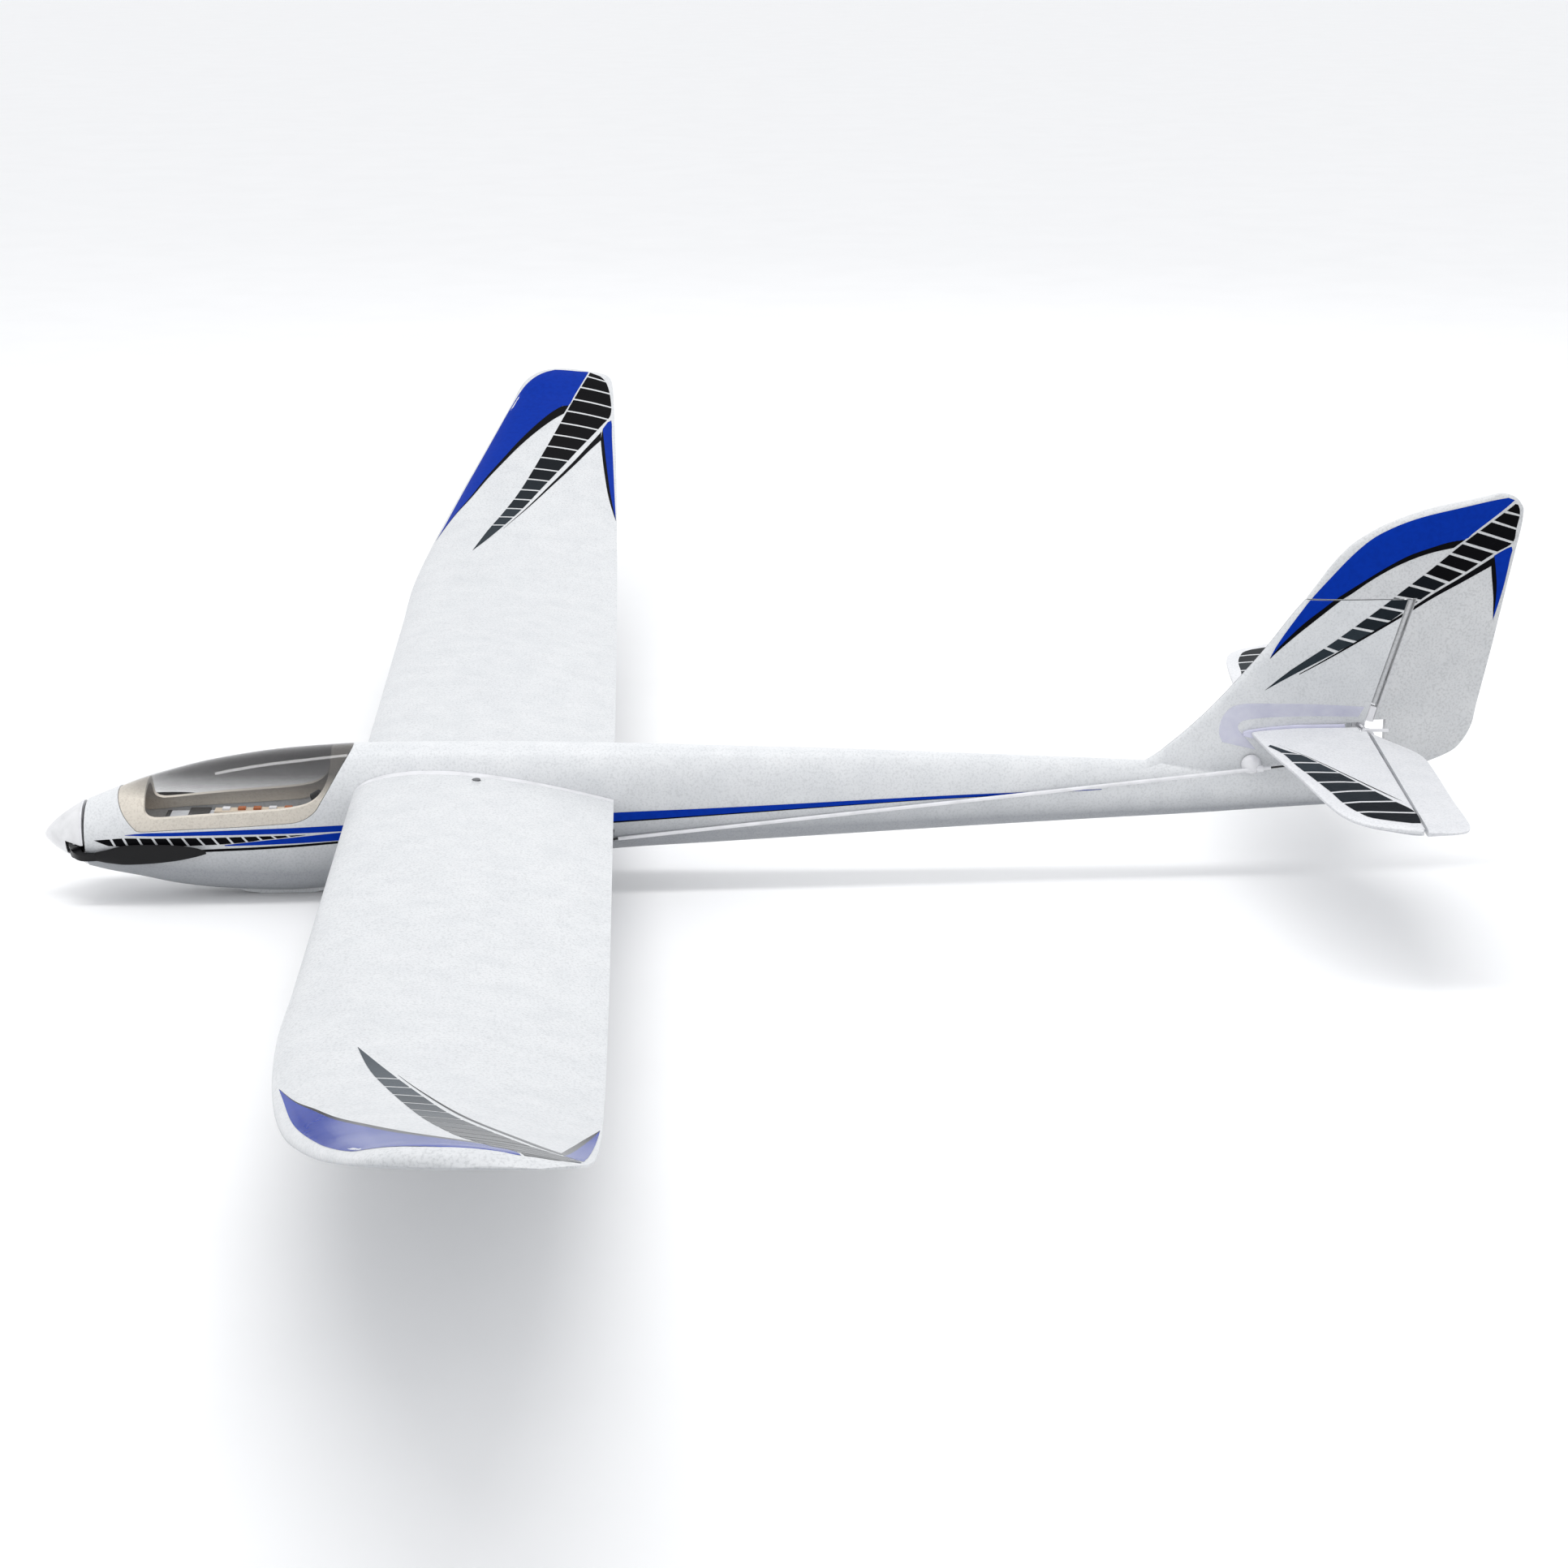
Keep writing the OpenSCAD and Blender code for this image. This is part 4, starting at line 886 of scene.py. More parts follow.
def wing_cutters(side):
    return [
        wing_tube_hole(side * 20, side * 201),
        screw_hole(side, 70, 130, 1.8),
        screw_hole(side, 99.2, 130, 3.4),
        box("cut_tab", (328, side * 20, 88.4), (346, side * 48, 92.2)),
        light_slot(side * 32, side * 430),
    ]


def rib_rings():
    foot = wing_ring(WING_ROOT, 80)
    rings = []
    for s in (0.9, 0.75, 0.55, 0.3, 0.12, 0):
        ring = []
        for i, p in enumerate(foot):
            z = p[2] + s / 2 * (foot[len(foot) - 1 - i][2] - p[2])
            ring.append((p[0], body_y(p[0], z) + 0.2, z))
        rings.append(ring)
    return rings + [wing_ring(WING_ROOT + 2.9, 80)]


def wings():
    for side, word in SIDES:
        panel = loft_object("wing_panel_" + word, wing_rings(), side)
        cut_smooth(panel, wing_cutters(side))
        placed(panel, "airframe", "foam", ["wing_" + word])
        rib = loft_object("root_rib_" + word, rib_rings(), side)
        cut(rib, [wing_tube_hole(0, side * 60), light_slot(side * 20, side * 40)])
        cut(rib, [box("tab", (330.4, side * 20, 88.7), (343.6, side * 47, 91.9))], "UNION")
        cut(rib, [screw_hole(side, 80, 100, 1.55)])
        placed(rib, "airframe", "white", ["wing_rib_" + word])


# ---- Tail ------------------------------------------------------------------

def rounded(s, start, length, least):
    """Share of the thickness left past start, as a quarter ellipse over a length."""
    return math.sqrt(max(1 - (max(s - start, 0) / length) ** 2, least))


def both_faces(tops):
    """Ring through points (x, y, height over the middle) of the upper face."""
    return ([(x, y, STAB_Z + v) for x, y, v in tops]
            + [(x, y, STAB_Z - v) for x, y, v in reversed(tops)])


def eased(n):
    """Steps from 0 to 1 that start close together, for a round leading edge."""
    return [1 - math.cos(math.radians(90 * i / n)) for i in range(n + 1)]


def stab_rise(x, y):
    """Half thickness of the stabiliser."""
    le, te = curve(STAB, y, 1), elev_x(y) - ELEV_GAP
    t = min(max((x - le) / (te - le), 0), 1)
    return stab_half_t(y) * rounded(y, 243, 8, 0.06) * min(1, 0.25 + 1.2 * math.sqrt(t))


def stab_ring(y):
    le, te = curve(STAB, y, 1), elev_x(y) - ELEV_GAP
    xs = [le + (te - le) * t for t in eased(40)]
    return both_faces([(x, y, stab_rise(x, y)) for x in xs])


def elevator_ring(y):
    te, le = curve(ELEV, y, 1), elev_x(y) + ELEV_GAP
    h = stab_half_t(y) * rounded(y, 245, 9, 0.06)
    h *= 0.4 + 0.6 * min(1, (te - le) / 12)
    return both_faces([(le + (te - le) * u, y, h * (1 - u) + 0.6 * u) for u in spread(0, 1, 24)])


def hinge_rooms(side):
    return [box("cut_hinge", (elev_x(y) - 10, side * (y - 6.3), STAB_Z - 0.8),
                (elev_x(y) + 10, side * (y + 6.3), STAB_Z + 0.8)) for y in ELEV_HINGES]


def fairing_ring(y):
    le, te, h = 933, 1013, STAB_THICK / 2 + 2
    return both_faces([(le + (te - le) * t, y, h * min(1, 0.15 + 1.2 * math.sqrt(t)))
                       for t in eased(40)])


def tailplane():
    for side, word in SIDES:
        ys = spread(9, 216, 44) + spread(219, 250, 24)
        tail = loft_object("tailplane_" + word, [stab_ring(y) for y in ys], side)
        corner = box("cut_corner", (1022.6, 0, STAB_Z - 10), (1036, side * 19.6, STAB_Z + 10))
        cut(tail, hinge_rooms(side) + stab_tube_holes(0, side * 150) + [corner])
        placed(tail, "airframe", "tail_foam", ["stab_" + word])
        ys = spread(19, 233, 54) + spread(236, 253, 16)
        flap = loft_object("elevator_" + word + "_foam", [elevator_ring(y) for y in ys], side)
        cut(flap, hinge_rooms(side))
        placed(flap, word + "_elevator", "tail_foam", ["elevator_" + word])
        rim = loft_object("tail_rim_" + word, [fairing_ring(y) for y in (5.7, 8.8)], side)
        cut(rim, stab_tube_holes(0, side * 20))
        soften(rim, 0.5)
        placed(rim, "airframe", "lavender", ["stab_fairing_" + word])
        web = bar("elevator_web_" + word, (elev_x(22), side * 22, STAB_Z),
                  (elev_x(244), side * 244, STAB_Z), 1.15)
        placed(web, "airframe", "tail_foam")


def foot_y(z):
    """Half thickness that the rounded foot of the rudder adds at its hinge."""
    return 4.6 * math.sqrt(max(0, 1 - ((z - 73) / 15.5) ** 2))


def rudder_y(x, z):
    """Half thickness of the rudder and of the fin's upper end, which moves with it."""
    return fin_y(x, z, CAP if z > CAP_FROM else FIN) * rounded(z, *CAP_ROUND)


def rudder_ring(z, start, table, n=40):
    le, te = curve(table, z, 1), curve(table, z, 2)
    thin = rounded(z, *CAP_ROUND) if table is CAP else 1.0
    x0 = max(start, le)
    points = []
    for u in spread(0, 1, n):
        x = x0 + (te - x0) * (u if start > le else 1 - math.cos(math.pi / 2 * u))
        h = FIN_HALF * fin_root(z) * foil_half((x - le) / (te - le))
        points.append((x, (max(h, foot_y(z) * (1 - u)) + 0.4) * thin))
    return [(x, -y, z) for x, y in points] + [(x, y, z) for x, y in reversed(points)]


def rudder():
    zs = spread(62, 110, 30) + spread(113, 226, 36)
    low = loft_object("rudder_foam", [rudder_ring(z, hinge_x(z) + 3.2, FIN) for z in zs])
    tops = [289 + 17.8 * math.sin(math.radians(a)) for a in spread(3, 90, 16)]
    cap = loft_object("cap", [rudder_ring(z, 0, CAP) for z in spread(CAP_FROM, 288, 26) + tops])
    cut(low, [cap], "UNION")
    cut(low, [joiner_room(1046, 9)] + hinge_cutters())
    placed(low, "rudder_body", "fin_foam", ["rudder"])
    for word, foot, head in (("low", 62, 110), ("high", 140.6, 224)):
        web = bar("rudder_web_" + word, (hinge_x(foot), 0, foot), (hinge_x(head), 0, head), 2.7)
        placed(web, "airframe", "fin_foam")


# ---- Canopy ----------------------------------------------------------------

def closed_top(outline, per_span):
    """Side outline with a smooth lower edge and straight sides above it."""
    return [outline[0]] + smooth_run(outline[1:-1], per_span) + [outline[-1]]


def canopy_skin(name, outer, inner, n=96):
    """Closed shell over the pod between two insets, wide enough for the canopy outline."""
    return loft_object(name, [[body_point(x, a, outer) for a in spread(220, -40, n)]
                              + [body_point(x, a, inner) for a in spread(-40, 220, n)]
                              for x in spread(57, 250, 110)])


def canopy():
    outline, window = closed_top(CANOPY, 6), closed_top(WINDOW, 6)
    rim = canopy_skin("canopy_foam", 0.9, 6)
    cut_smooth(rim, [prism("window", window)], [prism("outline", outline)])
    placed(rim, "canopy", "cream", ["canopy_frame"])
    glass = canopy_skin("canopy_clear", 0, 0.8)
    cut_smooth(glass, within=[prism("outline", outline)])
    glass.visible_shadow = glass.visible_diffuse = False
    placed(glass, "canopy", "smoke", ["canopy_glazing"])


# ---- Nose ------------------------------------------------------------------

def turned(name, profile, segments=128):
    """Skin of revolution about the shaft through a closed (x, radius) profile."""
    rings = []
    for k in range(segments):
        a = 2 * math.pi * k / segments
        rings.append([(x, max(r, 0.001) * math.cos(a), max(r, 0.001) * math.sin(a))
                      for x, r in profile])
    n = len(profile)
    points = [p for r in rings for p in r]
    faces = [(k * n + i, k * n + (i + 1) % n, ((k + 1) % segments) * n + (i + 1) % n,
              ((k + 1) % segments) * n + i) for k in range(segments) for i in range(n)]
    return mesh_object(name, points, faces)


def spinner_curve(inset, n=48):
    """(x, radius) points from the tip to the back of the spinner."""
    out = []
    for i in range(n + 1):
        x = SPINNER_LEN * (i / n) ** 1.6
        radius = SPINNER_R * (x / SPINNER_LEN) ** 0.65 - inset
        out.append((max(x, inset * 1.6, 0.01), max(radius, 0)))
    return out


def round_shaft(obj, angle):
    """Turns an object drawn round the +X shaft axis by an angle in degrees."""
    return swung(obj, math.radians(angle), "X")


def spinner():
    outer, inner = spinner_curve(0), spinner_curve(1.5)
    shell = turned("spinner_cone", outer + inner[::-1])
    slots = [round_shaft(box("slot", (18.5, -6.1, 9), (SPINNER_LEN + 2, 6.1, 40)),
                         BLADE_TILT + 90 + turn) for turn in (0, 180)]
    cut_smooth(shell, slots + [bar("hole", (-1, 0, 0), (5, 0, 0), 1.6)])
    placed(on_thrust(shell), "propeller", "gloss_white", ["spinner"])


def blade_ring(s, n=48):
    lo, hi, t = (curve(BLADE, s, c) for c in (1, 2, 3))
    x = BLADE_FROM[0] + s * math.cos(BLADE_SPLAY)
    r = BLADE_FROM[1] + s * math.sin(BLADE_SPLAY)
    ring = []
    for i in range(n):
        a = 2 * math.pi * i / n
        across = (hi - lo) / 2 * math.cos(a)
        ring.append((x, (lo + hi) / 2 + across,
                     r + t / 2 * math.sin(a) - BLADE_PITCH * across * min(1, s / 20)))
    return ring


def blades():
    for turn, word in ((0, "left"), (180, "right")):
        leaf = loft_object("blade_foil_" + word, [blade_ring(s) for s in spread(0, 86, 48)])
        arm = prism("arm", smooth_run(BLADE_ARM + BLADE_ARM[:1], 3)[:-1], 3)
        cut(leaf, [arm, bar("boss", (PIN_X, -3, PIN_R), (PIN_X, 3, PIN_R), 4, 48)], "UNION")
        cut(leaf, [bar("pin_hole", (PIN_X, -8, PIN_R), (PIN_X, 8, PIN_R), 1.31)])
        round_shaft(leaf, BLADE_TILT + 90 + turn)
        soften(leaf, 0.3, 2, 50)
        placed(on_thrust(leaf), word + "_blade", "blade", ["blade_" + word])


# ---- Stickers: outlines in millimetres -------------------------------------

# on the fuselage, the fin and the rudder, over (x, height)
FUSE_LADDER_TOP = [
    (42.6, 52.9), (55.8, 54.3), (65.9, 55.1), (87.4, 55.1), (110.6, 55.4), (133.7, 55.5), (157, 56),
    (184, 56.4), (207, 56.8),
]
FUSE_LADDER_LOW = [
    (53.4, 48.7), (60.8, 48.6), (80, 48.6), (104, 48.7), (127, 49.5), (138, 49.9), (149, 50.7),
    (160, 51.7), (172, 53.3), (184, 54.3), (197, 55.7), (207, 56.7),
]
FUSE_LADDER_MARKS = [
    (42.6, 53.4), (55.8, 58.5), (65.3, 68.5), (76.6, 80.1), (87.9, 91.7), (99.3, 103.5),
    (110.7, 115.2), (122.2, 127.2), (133.7, 138), (145, 149), (156.4, 160), (167.8, 171),
    (179, 182), (190.5, 192.5), (205, 206),
]
NOSE_BLUE_TOP = [
    (66.8, 57.7), (83, 59.3), (104.7, 59.9), (135.6, 60.9), (166.6, 61.8), (197.5, 62.6),
    (238, 63.2),
]
NOSE_BLUE_LOW = [(66.8, 57.4), (89, 56.9), (120, 57.3), (151, 57.6), (182, 57.9), (238, 58.3)]
BELLY_BLUE_TOP = [(142.8, 49.5), (166, 52), (189.5, 54.2), (212.8, 56.1), (238, 57.7)]
BELLY_BLUE_LOW = [(142.7, 48.7), (166, 49), (197, 49.9), (238, 51)]
LINE_TOP = [(82.2, 43.4), (130, 46), (166, 47.3), (197, 48.8), (238, 50.6)]
LINE_LOW = [(82, 41.8), (130, 43.9), (166, 45.2), (197, 46.8), (238, 48.8)]
STRIPE_TOP = [
    (237, 62), (340, 65.4), (441.5, 67.9), (531, 69.4), (658, 73.2), (721, 74.9), (822.6, 76.5),
]
STRIPE_LOW = [
    (237, 51), (340, 56.4), (441.5, 60.6), (531, 64.4), (658, 70.5), (721, 72.8), (822.6, 76.2),
]
UNDER_LOW = [
    (237, 48.8), (340, 55), (441.5, 59.3), (531, 63.4), (658, 69.9), (721, 72.4), (822.6, 76.1),
]

FIN_BLUE_OUT = [
    (951.9, 179), (957.6, 190.3), (970.8, 210.4), (982.5, 226.5), (995.8, 242.4), (1010.5, 259),
    (1025.4, 272.4), (1040.6, 281), (1055.9, 287.2), (1071.3, 291.8), (1094.6, 297.1),
    (1117.8, 302), (1130.2, 303.6),
]
FIN_BLUE_IN = [
    (951.9, 179), (957.8, 187), (966.8, 196.7), (977.3, 207.1), (990.9, 218.3), (1003, 227.8),
    (1024.3, 242), (1039.4, 251.5), (1054.7, 259.7), (1070.1, 265.2), (1085.6, 269.8),
    (1098.8, 271.9),
]
FIN_BLUE_END = [(1098.8, 271.9), (1104, 276.3), (1124.8, 292.8), (1135.4, 301.6)]
FIN_BLACK_LOW = [
    (951.9, 178.4), (957.9, 184.6), (970, 195.8), (982.1, 206.2), (1003.2, 223.8), (1012.4, 230.1),
    (1027.5, 240.9), (1042.7, 249.9), (1058, 256.9), (1073.5, 262), (1089.8, 265.3),
]
FIN_HATCH_UP = [
    (948.5, 153.1), (968.3, 169.7), (998.9, 190.6), (1036.8, 219.3), (1050.4, 230.5),
    (1074.4, 249.5), (1096.7, 268.4), (1119.1, 285.7), (1137.4, 299.6),
]
FIN_HATCH_LOW = [
    (948.5, 153.1), (968.6, 164.8), (1001, 182.4), (1030.3, 198.3), (1051.5, 213.5),
    (1075.7, 230.9), (1098.5, 244.4), (1121.2, 259.4), (1136.3, 268), (1138.4, 279.1),
    (1140.2, 289.5), (1139.6, 295), (1137.4, 299.6),
]
FIN_HATCH_MARKS = [
    (153.1, 153.1), (187.3, 183.7), (195, 191.4), (203.1, 199.5), (211.2, 207.5), (219.2, 215.5),
    (227.6, 223.9), (236.3, 231), (244.7, 237.7), (252.9, 245.3), (260.8, 253), (268.9, 260.6),
    (277.6, 268.3), (285.6, 279), (292.8, 289.5), (299.4, 298.6),
]
FIN_CURVE_UP = [
    (975, 166.5), (1001.1, 181.7), (1051.6, 212.6), (1076, 228.8), (1098.8, 242.4), (1122.9, 257.7),
]
FIN_CURVE_LOW = [
    (975, 165.8), (1001.1, 180.3), (1051.6, 210.2), (1076, 225.4), (1098.8, 237.8), (1121.1, 250.2),
]
FIN_EDGE_BLUE = [
    (1122.6, 258.3), (1136.2, 265.1), (1135.4, 255.2), (1132.3, 234.3), (1127.9, 214.9),
    (1125.8, 206.8),
]
FIN_EDGE_IN = [(1122.6, 258.3), (1124.3, 250), (1126.4, 236), (1126.8, 223), (1125.8, 206.8)]
FIN_EDGE_BLACK = [
    (1120.6, 252.1), (1121.8, 243), (1123.6, 232), (1124.8, 223.1), (1125.8, 206.8),
]

# on the tailplane, over (x, distance from the centre plane)
TAIL_OUT = [
    (944.3, 46.9), (951.3, 69), (954.6, 96), (959, 121), (963.4, 147.9), (965.9, 163.2),
    (968.9, 188.1), (974.6, 209), (983.9, 225), (1012, 238.6),
]
TAIL_IN = [
    (946.4, 44.4), (957.5, 65.7), (964.5, 76.3), (976, 107.1), (986.3, 134.6), (995.4, 159),
    (1005.2, 185.3), (1014.8, 211), (1012.4, 239),
]
TAIL_MARKS = [
    (46.9, 44.4), (67, 73), (90, 96), (114, 121), (139, 144), (163.5, 163.5), (188, 188),
    (209, 214), (237.6, 238),
]
TAIL_LINE_OUT = [
    (947.1, 33.9), (958.6, 60.4), (968.9, 83.4), (988.3, 130.8), (1002.5, 165.2), (1012.8, 190.3),
]
TAIL_LINE_IN = [
    (947.1, 33.9), (958.6, 60.8), (968.9, 84.6), (988.3, 133.4), (1002.5, 168), (1012.8, 190.3),
]

# on the wings, over (share of the chord, distance from the centre plane)
WING_MARGIN = [
    (0.022, 662), (0.03, 700), (0.03, 760), (0.03, 820), (0.03, 880), (0.032, 920), (0.05, 945),
    (0.1, 964), (0.2, 978), (0.36, 984.5), (0.56, 985.5), (0.715, 985.5),
]
WING_BLUE_IN = [
    (0.022, 662), (0.062, 711), (0.108, 748), (0.15, 787), (0.203, 820), (0.265, 853), (0.345, 882),
    (0.44, 906), (0.535, 920.5), (0.577, 921.5),
]
WING_BLUE_END = [(0.577, 921.5), (0.61, 940), (0.665, 963), (0.715, 985.5)]
WING_BLACK_IN = [
    (0.022, 661), (0.064, 709), (0.114, 743), (0.161, 780), (0.217, 811), (0.282, 841),
    (0.364, 868), (0.461, 891), (0.548, 905.5),
]
WING_HATCH_FORE = [
    (0.259, 609), (0.298, 660), (0.346, 703), (0.4, 753), (0.447, 806), (0.502, 860),
    (0.563, 905.5), (0.625, 940), (0.737, 986),
]
WING_HATCH_AFT = [
    (0.259, 609), (0.316, 640), (0.439, 711), (0.538, 770), (0.658, 824), (0.756, 860.5),
    (0.877, 896), (0.966, 920.5), (0.966, 950), (0.93, 972), (0.85, 983), (0.737, 986),
]
WING_HATCH_MARKS = [
    (609, 609), (676, 677), (696, 697), (716, 717), (737, 738), (758, 759), (780, 780), (801, 801),
    (823, 823), (845, 845), (867, 867), (889, 889), (911, 911), (933, 933), (955, 955), (976, 974),
    (986, 983),
]
WING_CURVE_FORE = [(0.38, 668), (0.442, 703.8), (0.583, 777.5), (0.762, 849), (0.885, 888)]
WING_CURVE_AFT = [(0.38, 667.5), (0.446, 703), (0.592, 774), (0.775, 842), (0.88, 872)]
WING_EDGE_OUT = [(0.895, 893), (0.968, 912), (0.972, 880), (0.98, 820), (0.993, 731)]
WING_EDGE_IN = [(0.895, 893), (0.91, 866), (0.93, 830), (0.956, 785), (0.993, 731)]
WING_EDGE_BLACK = [(0.88, 874), (0.893, 850), (0.916, 815), (0.948, 772), (0.993, 729)]

# film at the fin root, over (x, height)
FILM_OUT = [
    (917.2, 112), (914.4, 120), (916.8, 132.1), (924.4, 140.3), (937, 142.8), (960, 142.6),
    (984.9, 141.9), (1006, 140.6), (1028.3, 138.8),
]
FILM_IN = [
    (944, 105.5), (933, 118), (929, 123), (930, 126.9), (935, 129.5), (953.5, 131.6), (985.5, 132),
    (1006, 131.4), (1024.1, 130.6),
]


def beside(half_width):
    """Both sides of a form: takes a side, and gives the surface over (x, z)."""
    return lambda side: lambda x, z: (x, side * half_width(x, z), z)


def top_of_wing(side):
    """Upper skin over (share of the chord, distance from the centre plane)."""
    def at(t, y):
        x, _, z = wing_point(min(max(t, 0.002), 0.998), y)
        return (x, side * y, z)
    return at


def top_of_tail(side):
    return lambda x, y: (x, side * y, STAB_Z + stab_rise(x, y))


def fading(name, cells):
    """Sheets of ladder cells, from slate near the thin end to black."""
    steps = [("slate", 0, 3), ("slate_2", 3, 6), ("slate_3", 6, 8), ("black", 8, len(cells))]
    return [(name + shade, cells[first:last], shade)
            for shade, first, last in steps if cells[first:last]]


def lay(sheets, surface, facing=None, finish=""):
    """Sheets of (name, patches, colour) on both sides of the airframe.

    They face outward unless facing is given. The port side may take other materials, such as the
    lighter copies that paint sheen on the port wing tip."""
    for side, word in SIDES:
        for name, patches, color in sheets:
            shade = color + finish if side < 0 else color
            sticker_mesh(name + "_" + word, patches, surface(side), facing or (0, side, 0),
                         M[shade], "airframe")


def fuselage_stickers():
    lay([
        ("nose_ladder", rungs(FUSE_LADDER_TOP, FUSE_LADDER_LOW, FUSE_LADDER_MARKS, 2.0), "black"),
        ("nose_blue", [band(NOSE_BLUE_TOP, NOSE_BLUE_LOW, 70, 4),
                       band(BELLY_BLUE_TOP, BELLY_BLUE_LOW, 50, 4)], "blue"),
        ("nose_line", [band(LINE_TOP, LINE_LOW, 70, 2)], "black"),
        ("boom_stripe", [band(STRIPE_TOP, STRIPE_LOW, 90, 4)], "blue"),
        ("boom_line", [band(STRIPE_LOW, UNDER_LOW, 90, 2)], "black"),
    ], beside(body_y))


def fin_sheets():
    hatch = rungs(FIN_HATCH_UP, FIN_HATCH_LOW, FIN_HATCH_MARKS, 1.5, axis=1, along=4, across=6)
    return [
        ("fin_blue", [band(FIN_BLUE_OUT, FIN_BLUE_IN + FIN_BLUE_END[1:], 60, 10)], "blue"),
        ("fin_black", [band(FIN_BLUE_IN, FIN_BLACK_LOW, 50, 3),
                       band(FIN_CURVE_UP, FIN_CURVE_LOW, 40, 2),
                       band(FIN_EDGE_IN, FIN_EDGE_BLACK, 20, 2)], "black"),
        ("fin_edge", [band(FIN_EDGE_BLUE, FIN_EDGE_IN, 20, 4)], "blue"),
    ] + fading("fin_hatch_", hatch)


def fin_stickers():
    """Fin stickers, split where the rudder and the fin's upper end part from the fin."""
    ahead, behind = (1, -HINGE_LEAN), (-1, HINGE_LEAN)
    fore, aft = ((hinge_x(200) - 3.4, 200), ahead), ((hinge_x(200) + 3.4, 200), behind)
    low, high = ((0, 225.9), (0, 1)), ((0, 225.9), (0, -1))
    parts = (("fixed", beside(fin_y), "airframe", [fore, ((0, 224.8), (0, 1))]),
             ("top", beside(rudder_y), "rudder_body", [high]),
             ("aft", beside(rudder_y), "rudder_body", [aft, low]))
    for side, word in SIDES:
        for name, patches, color in fin_sheets():
            for part, surface, body, clips in parts:
                sticker_mesh("_".join((name, part, word)), patches, surface(side),
                             (0, side, 0), M[color], body, clips)
        sticker_mesh("root_film_" + word, [band(FILM_OUT, FILM_IN, 40, 6)], film_surface(side),
                     (0, side, 0), M["film"], "airframe")


def film_surface(side):
    """Outside of the fuselage shell, found by looking inward at it from one side."""
    shell = bpy.data.objects["fuselage_shell_" + dict(SIDES)[side]]
    tree = search_tree(shell.data)[0]

    def at(x, z):
        start = Vector(to_row((x, side * 80, z)))
        place = tree.ray_cast(start, Vector((0, -side, 0)))[0]
        reach = side * place.y / MM if place is not None else 0
        return (x, side * max(reach, fin_y(x, z)), z)
    return at


def wing_stickers():
    hatch = rungs(WING_HATCH_FORE, WING_HATCH_AFT, WING_HATCH_MARKS, 2.4, axis=1,
                  along=5, across=8)
    # The port tip takes the lighter film copies, whose lighter colour is painted sheen.
    lay([
        ("tip_blue", [band(WING_MARGIN, WING_BLUE_IN + WING_BLUE_END[1:], 90, 12)], "blue"),
        ("tip_black", [band(WING_BLUE_IN, WING_BLACK_IN, 60, 3),
                       band(WING_CURVE_FORE, WING_CURVE_AFT, 60, 2),
                       band(WING_EDGE_IN, WING_EDGE_BLACK, 30, 2)], "black"),
        ("tip_edge", [band(WING_EDGE_OUT, WING_EDGE_IN, 30, 4)], "blue"),
    ] + fading("tip_hatch_", hatch), top_of_wing, (0, 0, 1), "_gloss")


def tail_stickers():
    ladder = rungs(TAIL_OUT, TAIL_IN, TAIL_MARKS, 3.0, axis=1, along=6, across=6)
    lay([("tail_line", [band(TAIL_LINE_OUT, TAIL_LINE_IN, 40, 2)], "black")]
        + fading("tail_ladder_", ladder), top_of_tail, (0, 0, 1))


# ---- Small pieces kept from the CAD, and their finishes --------------------

FINISH = {
    "white": ["hinge_barrel", "elevator_root_left", "elevator_root_right", "tube_guides",
              "spinner_backplate", "rudder_servo_arm", "elevator_servo_arm", "rudder_horn",
              "rudder_hinges", "elevator_hinges", "rudder_tube", "elevator_tube"],
    "wood": ["motor_mount", "servo_tray"],
    "cream": ["battery_tray"],
    "metal": ["motor_stator", "prop_shaft", "spinner_screw", "blade_pins", "servo_screws",
              "elevator_joiner"],
    "dark_metal": ["motor_bell", "motor_screws", "wing_screws"],
    "carbon": ["wing_tube", "stab_tube"],
    "black_plastic": ["blade_yoke", "rudder_pushrod", "elevator_pushrod", "receiver",
                      "led_controller"],
    "servo_blue": ["rudder_servo", "elevator_servo", "esc"],
    "circuit": ["wing_led_left", "wing_led_right", "fin_led"],
}


def finish_cad_nodes():
    for finish, names in FINISH.items():
        for name in names:
            mesh = frame["nodes"][name].data
            mesh.materials.clear()
            mesh.materials.append(M[finish])


def block(name, lo, hi, finish, edge, segments=2, replaced=()):
    """Box with rounded edges, fixed in the pod."""
    return placed(soften(box(name, lo, hi), edge, segments), "airframe", finish, replaced)


def cockpit():
    """Battery, strap and light strip that show through the canopy."""
    block("battery_case", (93, -17, 38), (198, 17, 62), "wrap", 2.2, 4,
          ["battery"])
    for end, x0, x1 in (("front", 92.6, 97), ("rear", 194, 198.4)):
        block("battery_cap_" + end, (x0, -17.2, 37.8), (x1, 17.2, 62.2),
              "black_plastic", 1.2, 3)
    block("battery_plug", (87, -6, 46), (93, 6, 52), "orange", 0.6)
    loop = box("strap_webbing", (110.5, -18.4, 32.2), (126.5, 18.4, 63.4))
    cut(loop, [box("inside", (110, -17.2, 33.4), (127, 17.2, 62.2))])
    soften(loop, 0.5)
    placed(loop, "airframe", "webbing", ["battery_strap"])
    tape = box("light_tape", (130, 6, 62.1), (202, 16, 63.5))
    placed(tape, "airframe", "circuit", ["led_strip"])
    for i, x in enumerate(range(136, 197, 12)):
        block("light_chip_%d" % i, (x, 8.5, 63.3), (x + 6, 14, 65.2),
              "part_red" if i % 3 else "white", 0.3)


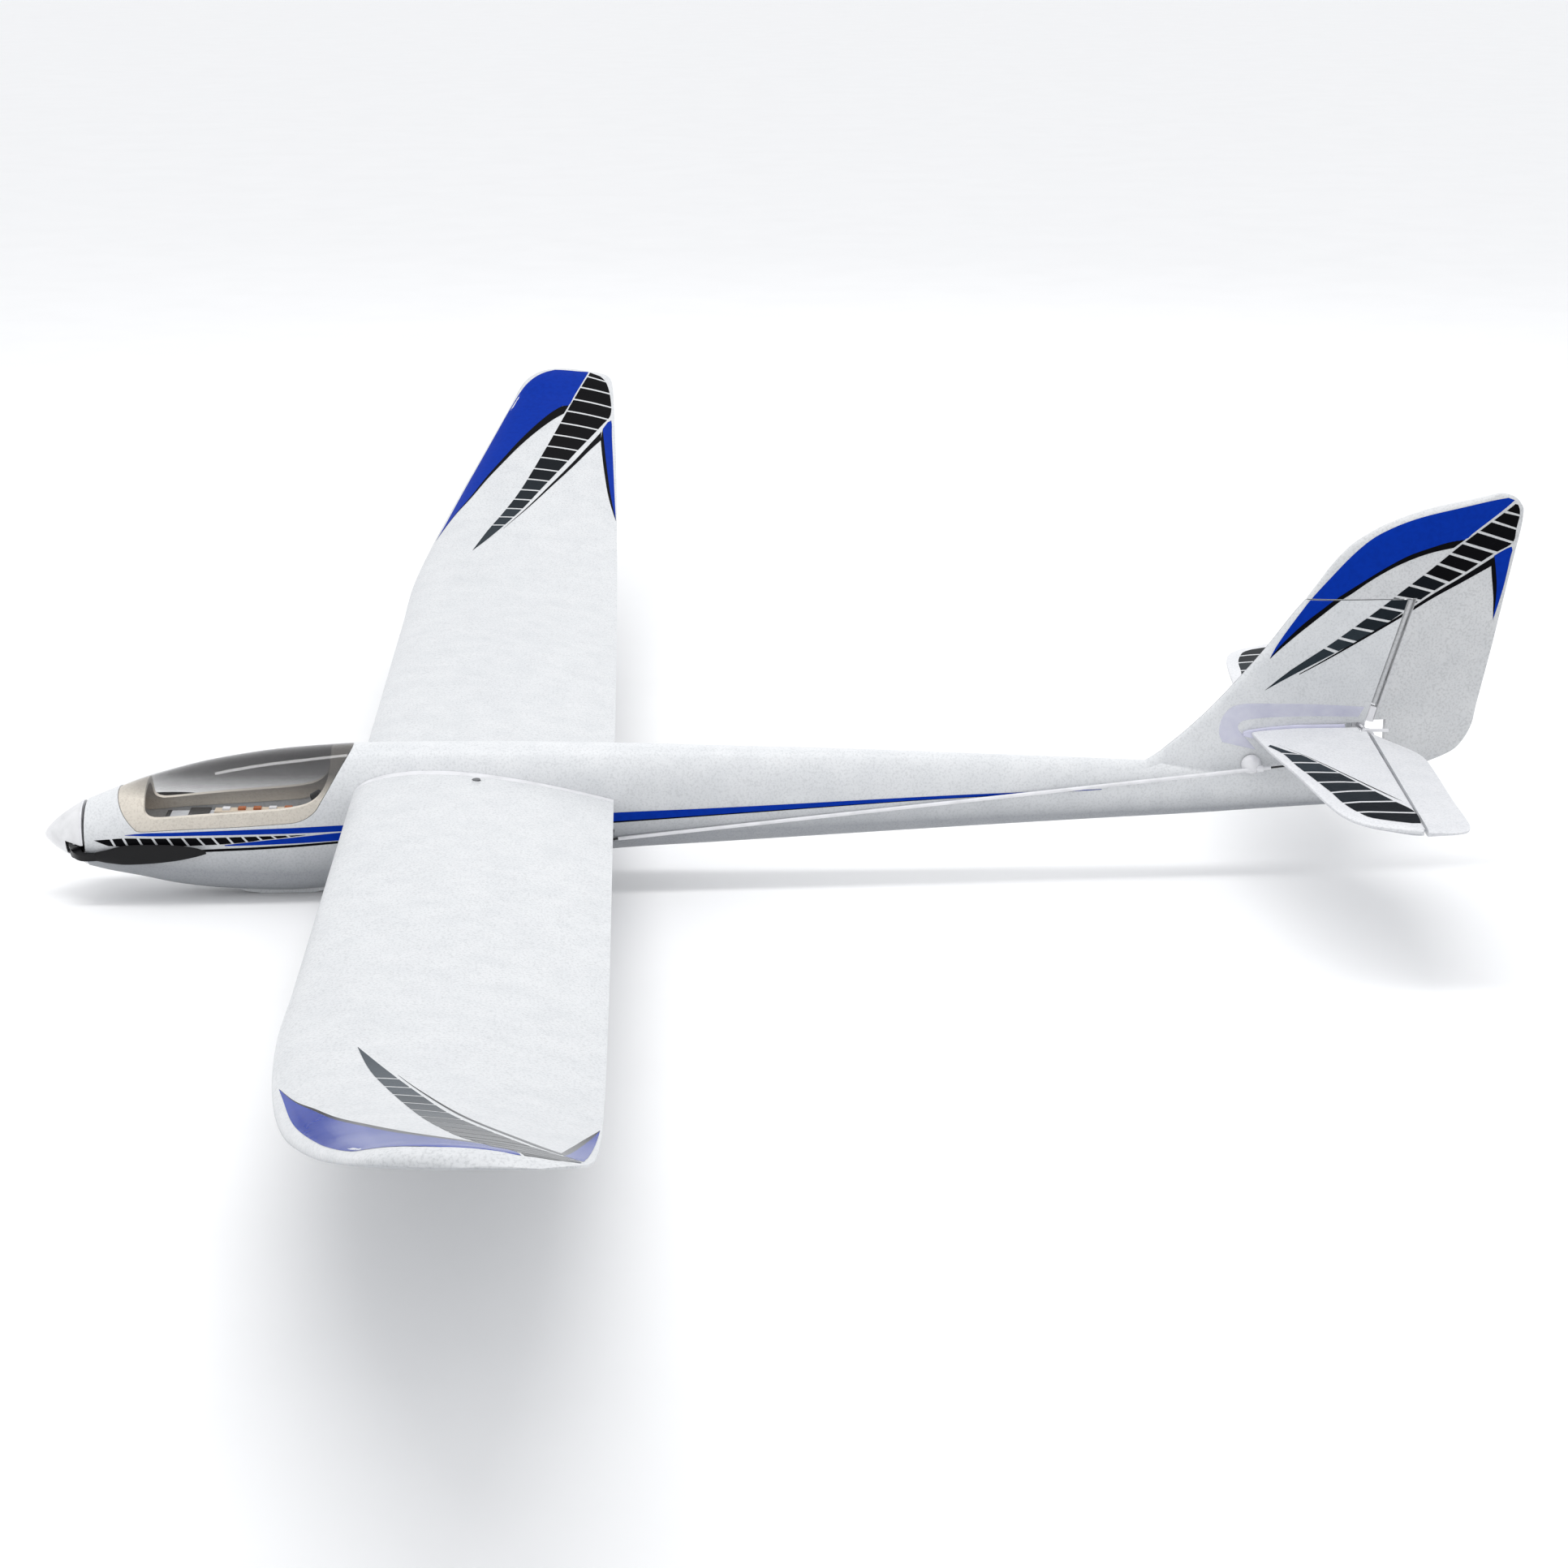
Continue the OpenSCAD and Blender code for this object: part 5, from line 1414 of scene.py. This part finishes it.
def belly_skid():
    outline = [(148, 4), (152, 2), (165, 0), (205, 0), (219, 2.6), (224, 6), (224, 14), (148, 14)]
    skid = prism("skid_foam", outline, 6.5)
    rings = [[body_point(x, 90 - 360 * (i + 0.5) / 72, -0.15) for i in range(72)]
             for x in spread(140, 232, 16)]
    cut(skid, [loft_object("pod", rings)])
    soften(skid, 0.8, 3)
    placed(skid, "airframe", "body_foam", ["belly_skid"])


# ---- Studio ----------------------------------------------------------------

CAMERA_PLACE = (-0.1041, -2.1175, 0.7730)
CAMERA_AHEAD = (0.04782, 0.94945, -0.31024)
CAMERA_RIGHT = (0.99874, -0.05017, 0.00041)
CAMERA_LENS = 65.46


def camera():
    ahead = Vector(CAMERA_AHEAD).normalized()
    right = (Vector(CAMERA_RIGHT) - ahead * ahead.dot(Vector(CAMERA_RIGHT))).normalized()
    up = right.cross(ahead)
    data = bpy.data.cameras.new("camera")
    data.lens, data.sensor_width, data.clip_start = CAMERA_LENS, 36, 0.05
    obj = bpy.data.objects.new("camera", data)
    bpy.context.scene.collection.objects.link(obj)
    turn = Matrix((right, up, -ahead)).transposed()
    obj.matrix_world = Matrix.Translation(Vector(CAMERA_PLACE)) @ turn.to_4x4()
    bpy.context.scene.camera = obj


def area_light(name, place, target, size, power):
    data = bpy.data.lights.new(name, "AREA")
    data.shape, data.energy = "RECTANGLE", power
    data.size, data.size_y = size
    obj = bpy.data.objects.new(name, data)
    bpy.context.scene.collection.objects.link(obj)
    obj.location = place
    obj.rotation_euler = (Vector(target) - Vector(place)).to_track_quat("-Z", "Y").to_euler()


def studio():
    material, tree, shader = new_material("floor_pale")
    tone = ramp(tree, noise(tree, 8, 3), (0.3, (0.93,) * 3), (0.7, (0.95,) * 3))
    tree.links.new(tone, shader.inputs["Base Color"])
    settings(shader, Roughness=0.8)
    bpy.ops.mesh.primitive_plane_add(size=60, location=(0, 0, cad_lo[2] - 0.0002))
    floor = bpy.context.object
    floor.name = "floor"
    floor.data.materials.append(material)
    world = bpy.data.worlds.new("studio")
    bpy.context.scene.world = world
    world.use_nodes = True
    settings(world.node_tree.nodes["Background"], Color=(0.97, 0.98, 1.0, 1), Strength=0.98)
    area_light("key", (-0.3, -0.25, 2.8), (-0.3, -0.24, 0), (2.4, 0.5), 27)
    area_light("back", (0.6, 2.4, 1.8), (0, 0, 0.1), (1.6, 1.6), 5)
    bpy.context.scene.view_settings.view_transform = "Standard"


def main():
    fuselage()
    wings()
    tailplane()
    rudder()
    canopy()
    spinner()
    blades()
    belly_skid()
    cockpit()
    fuselage_stickers()
    fin_stickers()
    wing_stickers()
    tail_stickers()
    finish_cad_nodes()
    camera()
    studio()


main()
